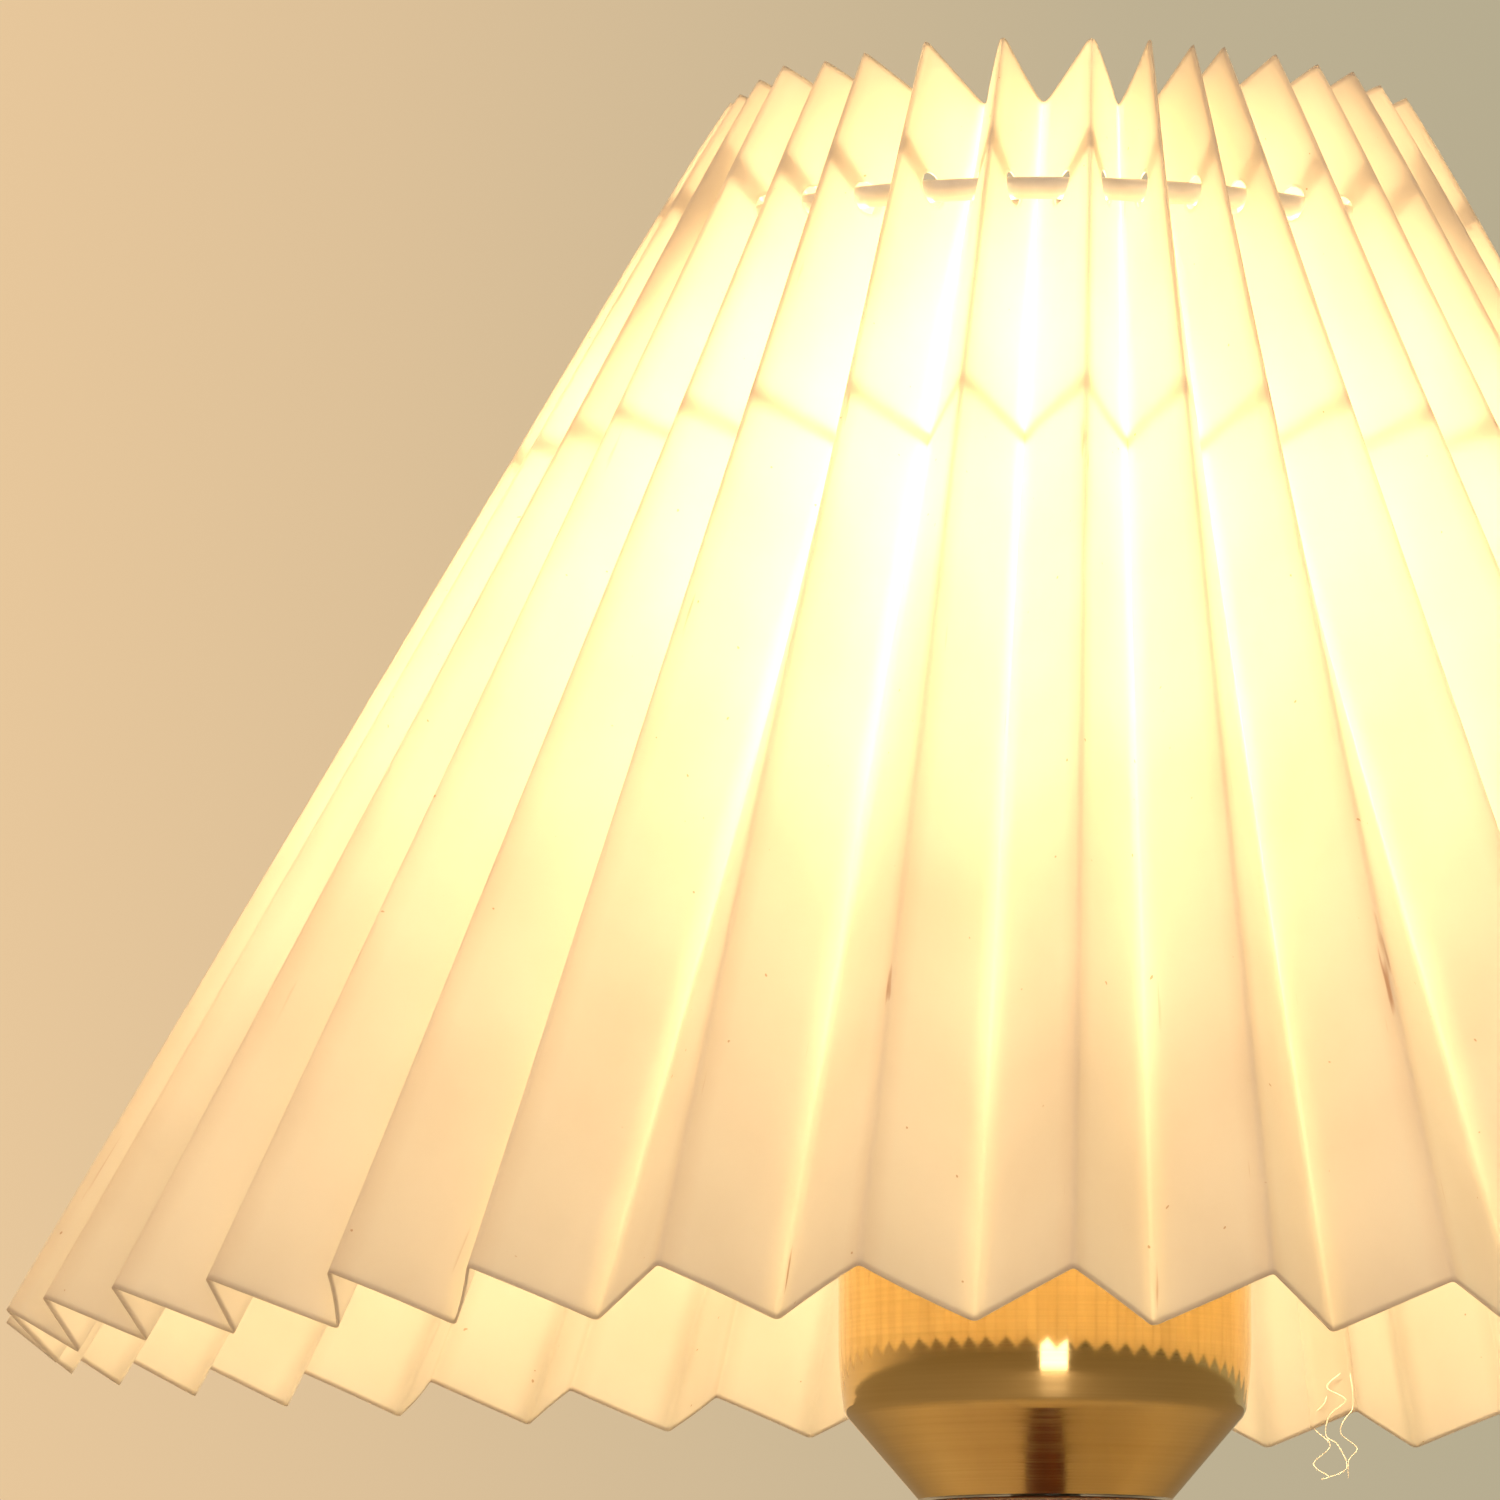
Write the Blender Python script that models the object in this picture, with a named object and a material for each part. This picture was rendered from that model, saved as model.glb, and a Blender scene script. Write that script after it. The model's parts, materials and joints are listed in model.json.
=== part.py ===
"""Table lamp: pleated cone shade on a wire carrier, brass cup, turned wooden stem and round weighted base.

Outlines are (radius, height) points in millimetres, and every object is built in metres with +Z up.
The origin is the centre of the base on the surface that the lamp stands on.
"""
import math

import bmesh
import bpy
from mathutils import Vector

MM = 0.001
TURN = 2.0 * math.pi
GAP = 0.3

# Shade sheet, given by its two kinds of fold.
PLEATS = 36
RIDGE_TOP = (50.9, 450.9)
RIDGE_BOTTOM = (150.0, 270.0)
VALLEY_TOP = (36.5, 443.1)
VALLEY_BOTTOM = (140.5, 263.5)
SHEET = 0.5

# Levels of the sheet as shares of its height from the top, and the one that holds the punched holes.
SHADE_ROWS = (0.0, 0.075, 0.135, 0.55, 1.0)
HOLE_ROW = 1
HOLE_SHARE = 0.104
HOLE_HALF = 2.6

# Wire carrier.
TOP_RING_RADIUS = 54.5
TOP_RING_HEIGHT = 427.8
TOP_WIRE = 1.6
LOWER_RING_HEIGHT = 389.0
LOWER_WIRE = 1.1
ARM_WIRE = 1.2
ARM_ANGLES = {"carrier_arm_back": 90.4, "carrier_arm_left": 210.4, "carrier_arm_right": 330.4}

# Lampholder, whose outer thread takes the shade.
HOLDER_RADIUS = 19.8
HOLDER_TOP = 312.0
SEAT_TOP = 304.0
FITTER_THICKNESS = 1.5
CLAMP_HEIGHT = 5.0

# Brass cup.
CUP_RADIUS = 29.6
CUP_RIM = 300.0
CUP_FOOT_RADIUS = 18.2
CUP_FOOT = 248.0
CUP_WALL = 1.0

# Stem, collar and base.
STEM_FOOT = 34.0
STEM_FOOT_RADIUS = 20.0
STEM_WAIST_RADIUS = 14.0
STEM_WAIST_AT = 0.38
STEM_TOP_RADIUS = 18.0
ROD_RADIUS = 5.0
NUT_RADIUS = 8.2
NUT_HEIGHT = 4.0
BASE_RADIUS = 75.0
BASE_HEIGHT = 27.0
BASE_WALL = 1.2
FELT = 2.0

# Bulb with a medium screw cap.
BULB_RADIUS = 30.0
BULB_CENTRE = 356.0
CAP_RADIUS = 13.1

# Corners in a full turn of wide, middling and small round pieces.
WIDE = 40
ROUND = 28
SMALL = 16


def clear_scene():
    for existing in list(bpy.data.objects):
        bpy.data.objects.remove(existing, do_unlink=True)


def finish(name, colour, roughness, metallic=0.0):
    """Make a plain material in the piece's colour."""
    surface = bpy.data.materials.new(name)
    surface.use_nodes = True
    shader = surface.node_tree.nodes["Principled BSDF"]
    shader.inputs["Base Color"].default_value = (*colour, 1.0)
    shader.inputs["Roughness"].default_value = roughness
    shader.inputs["Metallic"].default_value = metallic
    return surface


def pivot(name, location):
    """Add an empty on a joint's axis; location is in millimetres."""
    empty = bpy.data.objects.new(name, None)
    empty.location = Vector(location) * MM
    bpy.context.collection.objects.link(empty)
    return empty


def add_piece(name, data, surface, parent=None):
    """Link mesh or curve data, drawn in world coordinates, as a named piece."""
    piece = bpy.data.objects.new(name, data)
    data.materials.append(surface)
    bpy.context.collection.objects.link(piece)
    if parent is not None:
        piece.parent = parent
        piece.matrix_parent_inverse.translation = -parent.location
    return piece


def mesh_from(shape, name):
    """Turn a bmesh into a smooth shaded mesh whose corners stay sharp."""
    bmesh.ops.recalc_face_normals(shape, faces=shape.faces)
    mesh = bpy.data.meshes.new(name)
    shape.to_mesh(mesh)
    shape.free()
    mesh.shade_smooth()
    mesh.set_sharp_from_angle(angle=math.radians(30.0))
    return mesh


def arc(centre, radius, start, end, steps):
    """Points on an arc of the outline's plane, angles in degrees from the radial direction."""
    points = []
    for step in range(steps + 1):
        angle = math.radians(start + (end - start) * step / steps)
        points.append((centre[0] + radius * math.cos(angle), centre[1] + radius * math.sin(angle)))
    return points


def turned(name, outline, surface, segments=ROUND, at=(0.0, 0.0), parent=None):
    """Turn an outline around the vertical through at. An outline that starts on the axis is solid there."""
    shape = bmesh.new()
    corners = [shape.verts.new((radius * MM, 0.0, height * MM)) for radius, height in outline]
    edges = [shape.edges.new(pair) for pair in zip(corners, corners[1:])]
    if outline[0][0] > 0.0:
        edges.append(shape.edges.new((corners[-1], corners[0])))
    bmesh.ops.spin(shape, geom=corners + edges, cent=(0, 0, 0), axis=(0, 0, 1), angle=TURN,
                   steps=segments, use_merge=True)
    bmesh.ops.remove_doubles(shape, verts=shape.verts, dist=1e-7)
    bmesh.ops.translate(shape, verts=shape.verts, vec=(at[0] * MM, at[1] * MM, 0.0))
    return add_piece(name, mesh_from(shape, name), surface, parent)


def bar(name, outline, half_width, surface, parent=None):
    """Extrude an outline of (x, z) points along Y, centred on the XZ plane."""
    shape = bmesh.new()
    side = [shape.verts.new((x * MM, -half_width * MM, z * MM)) for x, z in outline]
    grown = bmesh.ops.extrude_face_region(shape, geom=[shape.faces.new(side)])["geom"]
    far_side = [item for item in grown if isinstance(item, bmesh.types.BMVert)]
    bmesh.ops.translate(shape, verts=far_side, vec=(0.0, 2.0 * half_width * MM, 0.0))
    return add_piece(name, mesh_from(shape, name), surface, parent)


def wire(name, points, radius, surface, parent=None, bevel_resolution=1):
    """Draw a round wire through points given in millimetres."""
    curve = bpy.data.curves.new(name, "CURVE")
    curve.dimensions = "3D"
    curve.bevel_depth = radius * MM
    curve.bevel_resolution = bevel_resolution
    curve.render_resolution_u = 0
    curve.use_fill_caps = True
    spline = curve.splines.new("POLY")
    spline.points.add(len(points) - 1)
    for place, point in zip(spline.points, points):
        place.co = (*(Vector(point) * MM), 1.0)
    return add_piece(name, curve, surface, parent)


def smooth_route(points, steps):
    """Read points from a smooth curve that passes through the given ones."""
    ends = [points[0]] + list(points) + [points[-1]]
    route = []
    for before, start, end, after in zip(ends, ends[1:], ends[2:], ends[3:]):
        for step in range(steps):
            t = step / steps
            route.append(tuple(
                0.5 * (2 * b + (c - a) * t + (2 * a - 5 * b + 4 * c - d) * t ** 2
                       + (3 * b - a - 3 * c + d) * t ** 3)
                for a, b, c, d in zip(before, start, end, after)))
    return route + [tuple(points[-1])]


def cut(piece, cutter):
    """Take the cutter's shape out of a piece."""
    cutter.hide_render = True
    cutter.display_type = "WIRE"
    knife = piece.modifiers.new("cut", "BOOLEAN")
    knife.operation = "DIFFERENCE"
    knife.object = cutter


def tube_outline(inner, outer, low, high):
    return [(outer, high), (inner, high), (inner, low), (outer, low)]


def rod_outline(radius, low, high):
    return [(0.0, low), (radius, low), (radius, high), (0.0, high)]


def hex_nut(name, low, surface):
    """Six sided nut with a round bore for the threaded rod."""
    nut = turned(name, rod_outline(NUT_RADIUS, low, low + NUT_HEIGHT), surface, 6)
    bore_outline = rod_outline(ROD_RADIUS + GAP, low - 1.0, low + NUT_HEIGHT + 1.0)
    bore = turned(name + "_bore", bore_outline, surface, SMALL)
    cut(nut, bore)


def wire_ring_outline(radius, height, wire_radius, sides=6):
    return arc((radius, height), wire_radius, 45.0, 405.0, sides)[:-1]


def between(start, end, share):
    return tuple(a + (b - a) * share for a, b in zip(start, end))


def make_base(finishes):
    """Felt, iron weight, spun and lacquered cover, the nut under them and the cord's inlet."""
    felt_radius = BASE_RADIUS - 3.0
    turned("felt_pad", rod_outline(felt_radius, 0.0, FELT), finishes["felt"], WIDE)

    weight_low = FELT + GAP
    weight_top = 17.0
    recess_radius = 17.0
    recess_top = 10.0
    weight_radius = BASE_RADIUS - 4.5
    weight = turned("base_weight", [
        (ROD_RADIUS + 0.5, recess_top), (recess_radius, recess_top), (recess_radius, weight_low),
        (weight_radius, weight_low), (weight_radius, weight_top - 3.0), (weight_radius - 3.0, weight_top),
        (ROD_RADIUS + 0.5, weight_top)], finishes["cast_iron"], WIDE)
    channel = bar("cord_channel", [(-3.5, 1.0), (3.5, 1.0), (3.5, 8.0), (-3.5, 8.0)], 45.0,
                  finishes["cast_iron"])
    channel.location.y = (recess_radius - 5.0 + 45.0) * MM
    cut(weight, channel)

    side_top = 14.0
    fillet = 5.0
    crown_edge = 24.0
    low = FELT - 1.0

    def crown(radius, drop):
        share = (radius - crown_edge) / (BASE_RADIUS - fillet - crown_edge)
        return (radius, BASE_HEIGHT - drop - (BASE_HEIGHT - side_top - fillet) * max(share, 0.0) ** 1.7)

    crown_radii = [crown_edge + (BASE_RADIUS - fillet - crown_edge) * step / 4 for step in range(5)]
    outside = [(BASE_RADIUS, low)] + arc((BASE_RADIUS - fillet, side_top), fillet, 0.0, 90.0, 3)[:-1]
    outside += [crown(radius, 0.0) for radius in reversed(crown_radii)]
    bore = ROD_RADIUS + 0.5
    inner_arc = arc((BASE_RADIUS - fillet, side_top), fillet - BASE_WALL, 90.0, 0.0, 2)[1:]
    inside = [crown(radius, BASE_WALL) for radius in crown_radii] + inner_arc
    outline = outside + [(bore, BASE_HEIGHT), (bore, BASE_HEIGHT - BASE_WALL)] + inside
    shell = turned("base_cover", outline + [(BASE_RADIUS - BASE_WALL, low)], finishes["dark_lacquer"], WIDE)
    bush_height = 8.0
    hole = turned("inlet_hole", rod_outline(4.3, -10.0, 10.0), finishes["dark_lacquer"], SMALL)
    hole.rotation_euler.x = math.radians(-90.0)
    hole.location = (0.0, BASE_RADIUS * MM, bush_height * MM)
    cut(shell, hole)
    bush = turned("cord_inlet_bush", [
        (3.0, -3.2), (3.9, -3.2), (3.9, GAP), (5.4, GAP), (5.4, 1.4), (4.6, 2.2), (3.0, 2.2)],
        finishes["black_plastic"], SMALL)
    bush.rotation_euler.x = math.radians(-90.0)
    bush.location = (0.0, BASE_RADIUS * MM, bush_height * MM)

    washer_top = recess_top - GAP
    washer_low = washer_top - 1.5
    turned("base_washer", tube_outline(ROD_RADIUS + GAP, 11.0, washer_low, washer_top),
           finishes["zinc"], SMALL)
    hex_nut("base_nut", washer_low - GAP - NUT_HEIGHT, finishes["zinc"])


def stem_radius(share):
    """Radius of the stem at a share of its height: a waist that opens to the foot and the cup."""
    if share < STEM_WAIST_AT:
        spread = (STEM_WAIST_AT - share) / STEM_WAIST_AT
        return STEM_WAIST_RADIUS + (STEM_FOOT_RADIUS - STEM_WAIST_RADIUS) * spread ** 2
    spread = (share - STEM_WAIST_AT) / (1.0 - STEM_WAIST_AT)
    return STEM_WAIST_RADIUS + (STEM_TOP_RADIUS - STEM_WAIST_RADIUS) * spread ** 2


def make_stem(finishes):
    """Threaded rod, brass foot collar and the bored wooden stem."""
    turned("threaded_rod", tube_outline(3.5, ROD_RADIUS, FELT + 1.0, 262.0), finishes["zinc"], SMALL)

    collar_low = BASE_HEIGHT + GAP
    collar_top = STEM_FOOT - GAP
    bore = ROD_RADIUS + 0.5
    cove = arc((25.5, collar_top - 2.2), 3.0, 250.0, 130.0, 3)
    turned("foot_collar", [(bore, collar_low), (25.0, collar_low)] + cove
           + [(STEM_FOOT_RADIUS + 1.0, collar_top), (bore, collar_top)], finishes["brass"], WIDE)

    stem_top = CUP_FOOT - GAP
    steps = 10
    side = [(stem_radius(step / steps), STEM_FOOT + (stem_top - STEM_FOOT) * step / steps)
            for step in range(steps + 1)]
    turned("stem", [(bore, STEM_FOOT)] + side + [(bore, stem_top)], finishes["dark_wood"], WIDE)


def make_cup(finishes):
    """Spun brass cup, with a cone foot that stands on the stem, and what clamps it."""
    corner = 5.0
    corner_centre = (CUP_RADIUS - corner, 261.5)
    outside = [(CUP_FOOT_RADIUS, CUP_FOOT)] + arc(corner_centre, corner, -48.0, 0.0, 4)
    inside = arc(corner_centre, corner - CUP_WALL, 0.0, -48.0, 3)
    foot_inside = (CUP_FOOT_RADIUS - 0.4, CUP_FOOT + CUP_WALL)
    bore = ROD_RADIUS + 0.5
    outline = [(bore, CUP_FOOT)] + outside + [(CUP_RADIUS, CUP_RIM), (CUP_RADIUS - CUP_WALL, CUP_RIM)]
    turned("cup", outline + inside + [foot_inside, (bore, CUP_FOOT + CUP_WALL)], finishes["brass"], WIDE)

    washer_low = CUP_FOOT + CUP_WALL + GAP
    washer_top = washer_low + 1.4
    turned("cup_washer", tube_outline(ROD_RADIUS + GAP, 14.0, washer_low, washer_top),
           finishes["zinc"], SMALL)
    hex_nut("cup_nut", washer_top + GAP, finishes["zinc"])


def make_lampholder(finishes):
    """Holder base, threaded outer shell, the ring that the shade sits on, ceramic insert and contacts."""
    base_low = 255.6
    split = 280.0
    turned("lampholder_base", [
        (ROD_RADIUS + GAP, base_low), (9.0, base_low), (9.0, base_low + 3.5), (19.0, 264.0),
        (HOLDER_RADIUS + 0.4, 267.0), (HOLDER_RADIUS + 0.4, split), (17.8, split), (17.8, 263.8),
        (ROD_RADIUS + GAP, 260.5)], finishes["black_plastic"])

    thread_depth = 0.5
    pitch = 2.0
    threads = []
    crest = HOLDER_TOP - 1.0
    while crest - pitch > SEAT_TOP:
        threads += [(HOLDER_RADIUS - thread_depth, crest), (HOLDER_RADIUS, crest - pitch / 2)]
        crest -= pitch
    turned("lampholder_shell", [
        (16.6, HOLDER_TOP), (16.6, split + GAP), (HOLDER_RADIUS, split + GAP),
        (HOLDER_RADIUS, SEAT_TOP)] + threads[::-1]
        + [(HOLDER_RADIUS - thread_depth, HOLDER_TOP)], finishes["black_plastic"])
    turned("shade_seat_ring", [
        (HOLDER_RADIUS + GAP, SEAT_TOP), (HOLDER_RADIUS + GAP, SEAT_TOP - 3.5), (22.0, SEAT_TOP - 3.5),
        (24.5, SEAT_TOP - 2.0), (24.5, SEAT_TOP)], finishes["black_plastic"])

    insert_top = 277.2
    turned("lampholder_insert", rod_outline(16.2, 266.6, insert_top), finishes["ceramic"])
    shell_low = insert_top + GAP
    turned("screw_shell", [
        (9.0, shell_low), (14.2, shell_low), (14.2, 306.0), (13.6, 306.0), (13.6, shell_low + 0.5),
        (9.0, shell_low + 0.5)], finishes["brass"])

    screw_reach = 9.0
    for name, side in (("terminal_screw_line", 1), ("terminal_screw_neutral", -1)):
        turned(name, [(0.0, 263.4), (2.2, 263.4), (2.2, 265.2), (1.3, 265.2), (1.3, 266.3), (0.0, 266.3)],
               finishes["zinc"], 12, at=(side * screw_reach, 0.0))

    contact_pivot = pivot("centre_contact_pivot", (-5.0, 0.0, 278.0))
    bar("centre_contact", [
        (-7.5, 277.6), (-2.5, 277.6), (1.0, 279.6), (4.0, 279.6), (4.0, 280.2), (0.9, 280.2),
        (-2.7, 278.2), (-7.5, 278.2)], 2.5, finishes["bronze"], contact_pivot)


def make_clamp_ring(finishes):
    """Ring that screws down on the carrier's fitter ring."""
    centre = pivot("clamp_ring_pivot", (0.0, 0.0, SEAT_TOP))
    low = SEAT_TOP + GAP + FITTER_THICKNESS + GAP
    high = low + CLAMP_HEIGHT
    turned("shade_clamp_ring", [
        (HOLDER_RADIUS + 0.3, low), (25.2, low), (26.0, low + 0.8), (26.0, low + 3.0), (23.0, low + 3.6),
        (22.4, high), (HOLDER_RADIUS + 0.3, high)], finishes["black_plastic"], ROUND, parent=centre)


def fold_line(top, bottom, height):
    """Radius of a fold at a height."""
    return top[0] + (bottom[0] - top[0]) * (top[1] - height) / (top[1] - bottom[1])


def fold_point(fold, share, inset=0.0):
    """Point of a fold, in mm, at a share of its length from the top. Even folds are ridges."""
    ends = (RIDGE_TOP, RIDGE_BOTTOM) if fold % 2 == 0 else (VALLEY_TOP, VALLEY_BOTTOM)
    radius, height = between(*ends, share)
    angle = TURN * (0.25 + fold / (2 * PLEATS))
    return Vector(((radius - inset) * math.cos(angle), (radius - inset) * math.sin(angle), height))


def fold_inset(share):
    """How far the inner face's folds lie inside the outer ones where the sheet keeps its thickness."""
    ridge = fold_point(0, share)
    valley = fold_point(1, share)
    half_pitch = (ridge.xy - valley.xy).length * math.sin(ridge.xy.angle(ridge.xy - valley.xy))
    return SHEET * (ridge.xy - valley.xy).length / half_pitch


def hole_corners(fold, push):
    """Corners of the punched hole in the panel after a fold, pushed off the outer face towards the axis."""
    start = fold_point(fold, HOLE_SHARE)
    end = fold_point(fold + 1, HOLE_SHARE)
    along = (fold_point(fold, HOLE_SHARE + 0.01) - start).normalized()
    across = end - start
    reach = (TOP_RING_RADIUS - start.xy.length) / (end.xy.length - start.xy.length)
    centre = start + across * reach
    across.normalize()
    inward = along.cross(across).normalized()
    inward *= -math.copysign(push, inward.dot(Vector((centre.x, centre.y, 0.0))))
    steps = ((-1, -1), (-1, 1), (1, 1), (1, -1))
    return [centre + inward + (across * a + along * b) * HOLE_HALF for a, b in steps]


def pleated_sheet(name, surface, parent):
    """Closed zigzag sheet with a square hole in each panel for the top ring."""
    shape = bmesh.new()
    folds = 2 * PLEATS

    def corner(point):
        return shape.verts.new(point * MM)

    rows = []
    for share in SHADE_ROWS:
        inset = fold_inset(share)
        rows.append(([corner(fold_point(fold, share)) for fold in range(folds)],
                     [corner(fold_point(fold, share, inset)) for fold in range(folds)]))
    for fold in range(folds):
        after = (fold + 1) % folds
        for level, (upper, lower) in enumerate(zip(rows, rows[1:])):
            frames = [(above[fold], below[fold], below[after], above[after])
                      for above, below in zip(upper, lower)]
            if level != HOLE_ROW:
                for frame in frames:
                    shape.faces.new(frame)
                continue
            rims = [[corner(point) for point in hole_corners(fold, push)] for push in (0.0, SHEET)]
            for frame, rim in zip(frames, rims):
                for side in range(4):
                    shape.faces.new((frame[side], frame[side - 1], rim[side - 1], rim[side]))
            for side in range(4):
                shape.faces.new((rims[0][side], rims[0][side - 1], rims[1][side - 1], rims[1][side]))
        for outer, inner in (rows[0], rows[-1]):
            shape.faces.new((outer[fold], outer[after], inner[after], inner[fold]))
    return add_piece(name, mesh_from(shape, name), surface, parent)


def make_shade(finishes):
    """Fitter ring, three arms, two wire rings and the pleated sheet that hangs on the top ring."""
    centre = pivot("shade_pivot", (0.0, 0.0, SEAT_TOP))
    fitter_low = SEAT_TOP + GAP
    fitter_radius = 27.0
    turned("carrier_fitter_ring",
           tube_outline(HOLDER_RADIUS + 0.4, fitter_radius, fitter_low, fitter_low + FITTER_THICKNESS),
           finishes["white_wire"], parent=centre)

    turned("carrier_top_ring", wire_ring_outline(TOP_RING_RADIUS, TOP_RING_HEIGHT, TOP_WIRE),
           finishes["white_wire"], PLEATS, parent=centre)
    lower_radius = fold_line(VALLEY_TOP, VALLEY_BOTTOM, LOWER_RING_HEIGHT) - LOWER_WIRE - 1.4
    turned("carrier_lower_ring", wire_ring_outline(lower_radius, LOWER_RING_HEIGHT, LOWER_WIRE, 5),
           finishes["white_wire"], WIDE, parent=centre)

    arm_at_lower = lower_radius - LOWER_WIRE - ARM_WIRE - GAP
    arm_height = fitter_low + FITTER_THICKNESS / 2
    arm_at_top = TOP_RING_RADIUS - TOP_WIRE - ARM_WIRE - GAP
    arm = smooth_route([
        (fitter_radius + GAP, arm_height), (38.0, arm_height + 1.0), (50.0, arm_height + 16.0),
        (arm_at_lower - 3.0, 350.0), (arm_at_lower, LOWER_RING_HEIGHT), (arm_at_top, TOP_RING_HEIGHT),
        (arm_at_top - 0.8, TOP_RING_HEIGHT + 3.0)], 2)
    for name, degrees in ARM_ANGLES.items():
        angle = math.radians(degrees)
        points = [(radius * math.cos(angle), radius * math.sin(angle), height) for radius, height in arm]
        wire(name, points, ARM_WIRE, finishes["white_wire"], centre)

    pleated_sheet("pleated_shade", finishes["shade_sheet"], centre)


def make_bulb(finishes):
    """Screw cap with its insulator and centre tip, hollow glass, and the filament on its mount."""
    centre = pivot("bulb_pivot", (0.0, 0.0, 280.8))
    turned("bulb_tip", [(0.0, 280.8), (3.6, 280.8), (4.6, 281.6), (4.6, 282.8), (0.0, 282.8)],
           finishes["zinc"], SMALL, parent=centre)
    turned("bulb_insulator", [(5.0, 281.4), (7.0, 281.4), (11.6, 285.0), (11.6, 286.6), (5.0, 286.6)],
           finishes["black_plastic"], SMALL, parent=centre)
    turned("bulb_cap", [
        (12.0, 285.3), (CAP_RADIUS, 286.8), (CAP_RADIUS, 306.5), (CAP_RADIUS - 0.5, 306.5),
        (CAP_RADIUS - 0.5, 287.4), (12.0, 286.7)], finishes["nickel"], ROUND, parent=centre)

    glass = 0.8
    neck_low = 290.0
    neck_radius = 12.2
    shoulder = 309.5
    shoulder_radius = 14.2
    flare = []
    for step in range(5):
        share = step / 5
        rise = 0.5 * (1.0 - math.cos(math.pi * share))
        flare.append((shoulder_radius + (BULB_RADIUS - shoulder_radius) * rise,
                      shoulder + (BULB_CENTRE - shoulder) * share))
    outside = [(neck_radius, neck_low), (neck_radius, shoulder - 2.5)] + flare
    outside += arc((0.0, BULB_CENTRE), BULB_RADIUS, 0.0, 90.0, 5)
    outside[-1] = (0.0, BULB_CENTRE + BULB_RADIUS)
    inside = [(radius - glass, height) for radius, height in outside[:-6]]
    inside += arc((0.0, BULB_CENTRE), BULB_RADIUS - glass, 0.0, 90.0, 5)
    inside[-1] = (0.0, BULB_CENTRE + BULB_RADIUS - glass)
    turned("bulb_glass", inside[::-1] + outside, finishes["bulb_glass"], ROUND, parent=centre)

    mount_top = 338.0
    turned("filament_mount", [
        (0.0, neck_low + 1.0), (10.8, neck_low + 1.0), (10.8, neck_low + 2.0), (4.0, neck_low + 12.0),
        (2.6, mount_top - 6.0), (3.4, mount_top), (0.0, mount_top)], finishes["bulb_glass"], 12,
        parent=centre)
    span = 10.0
    bends = [math.pi * step / 8 - math.pi / 2 for step in range(9)]
    coil = [(span * math.sin(bend), span * math.cos(bend), BULB_CENTRE + 2.0) for bend in bends]
    lead_foot = mount_top + GAP
    route = [(-1.6, 0.0, lead_foot), (-1.8, 0.0, lead_foot + 2.0)] + coil
    route += [(1.8, 0.0, lead_foot + 2.0), (1.6, 0.0, lead_foot)]
    wire("filament", route, 0.35, finishes["bronze"], centre, 0)


def main():
    clear_scene()
    finishes = {
        "felt": finish("felt", (0.05, 0.07, 0.05), 0.95),
        "cast_iron": finish("cast_iron", (0.12, 0.12, 0.13), 0.7, 1.0),
        "brass": finish("brass", (0.78, 0.52, 0.18), 0.25, 1.0),
        "zinc": finish("zinc", (0.60, 0.60, 0.58), 0.35, 1.0),
        "nickel": finish("nickel", (0.70, 0.68, 0.62), 0.3, 1.0),
        "bronze": finish("bronze", (0.62, 0.38, 0.20), 0.35, 1.0),
        "dark_wood": finish("dark_wood", (0.10, 0.035, 0.015), 0.3),
        "dark_lacquer": finish("dark_lacquer", (0.11, 0.03, 0.012), 0.2),
        "black_plastic": finish("black_plastic", (0.02, 0.02, 0.02), 0.35),
        "ceramic": finish("ceramic", (0.85, 0.83, 0.78), 0.3),
        "white_wire": finish("white_wire", (0.86, 0.84, 0.80), 0.45),
        "shade_sheet": finish("shade_sheet", (0.93, 0.86, 0.72), 0.55),
        "bulb_glass": finish("bulb_glass", (0.95, 0.92, 0.85), 0.15),
    }
    make_base(finishes)
    make_stem(finishes)
    make_cup(finishes)
    make_lampholder(finishes)
    make_clamp_ring(finishes)
    make_shade(finishes)
    make_bulb(finishes)


main()
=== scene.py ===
"""Looks of the table lamp: the lit pleated shade, its wire carrier, the brass cup and base, the wooden stem and the
bulb in its lampholder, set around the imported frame.

Outlines are (radius, height) points in millimetres. Azimuths are degrees from the front, -Y, towards +X.
"""

import json
import math
import random

import bmesh
import bpy
from mathutils import Matrix, Vector


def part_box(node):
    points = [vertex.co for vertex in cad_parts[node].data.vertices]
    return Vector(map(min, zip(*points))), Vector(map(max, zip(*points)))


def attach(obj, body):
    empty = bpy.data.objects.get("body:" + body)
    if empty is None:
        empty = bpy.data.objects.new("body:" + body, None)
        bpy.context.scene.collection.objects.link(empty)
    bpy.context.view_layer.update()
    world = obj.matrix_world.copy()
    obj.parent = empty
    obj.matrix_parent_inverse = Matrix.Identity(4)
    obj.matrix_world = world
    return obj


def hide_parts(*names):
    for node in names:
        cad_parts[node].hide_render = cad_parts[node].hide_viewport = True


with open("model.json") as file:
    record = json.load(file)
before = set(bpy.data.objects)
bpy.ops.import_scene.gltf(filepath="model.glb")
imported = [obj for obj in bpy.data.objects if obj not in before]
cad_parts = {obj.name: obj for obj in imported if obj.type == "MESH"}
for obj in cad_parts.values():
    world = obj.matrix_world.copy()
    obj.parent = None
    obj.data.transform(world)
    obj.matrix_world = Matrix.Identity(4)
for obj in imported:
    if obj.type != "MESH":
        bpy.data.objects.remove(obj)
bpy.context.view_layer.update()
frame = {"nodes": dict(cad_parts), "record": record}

MM = 0.001
TURN = 2.0 * math.pi

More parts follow.
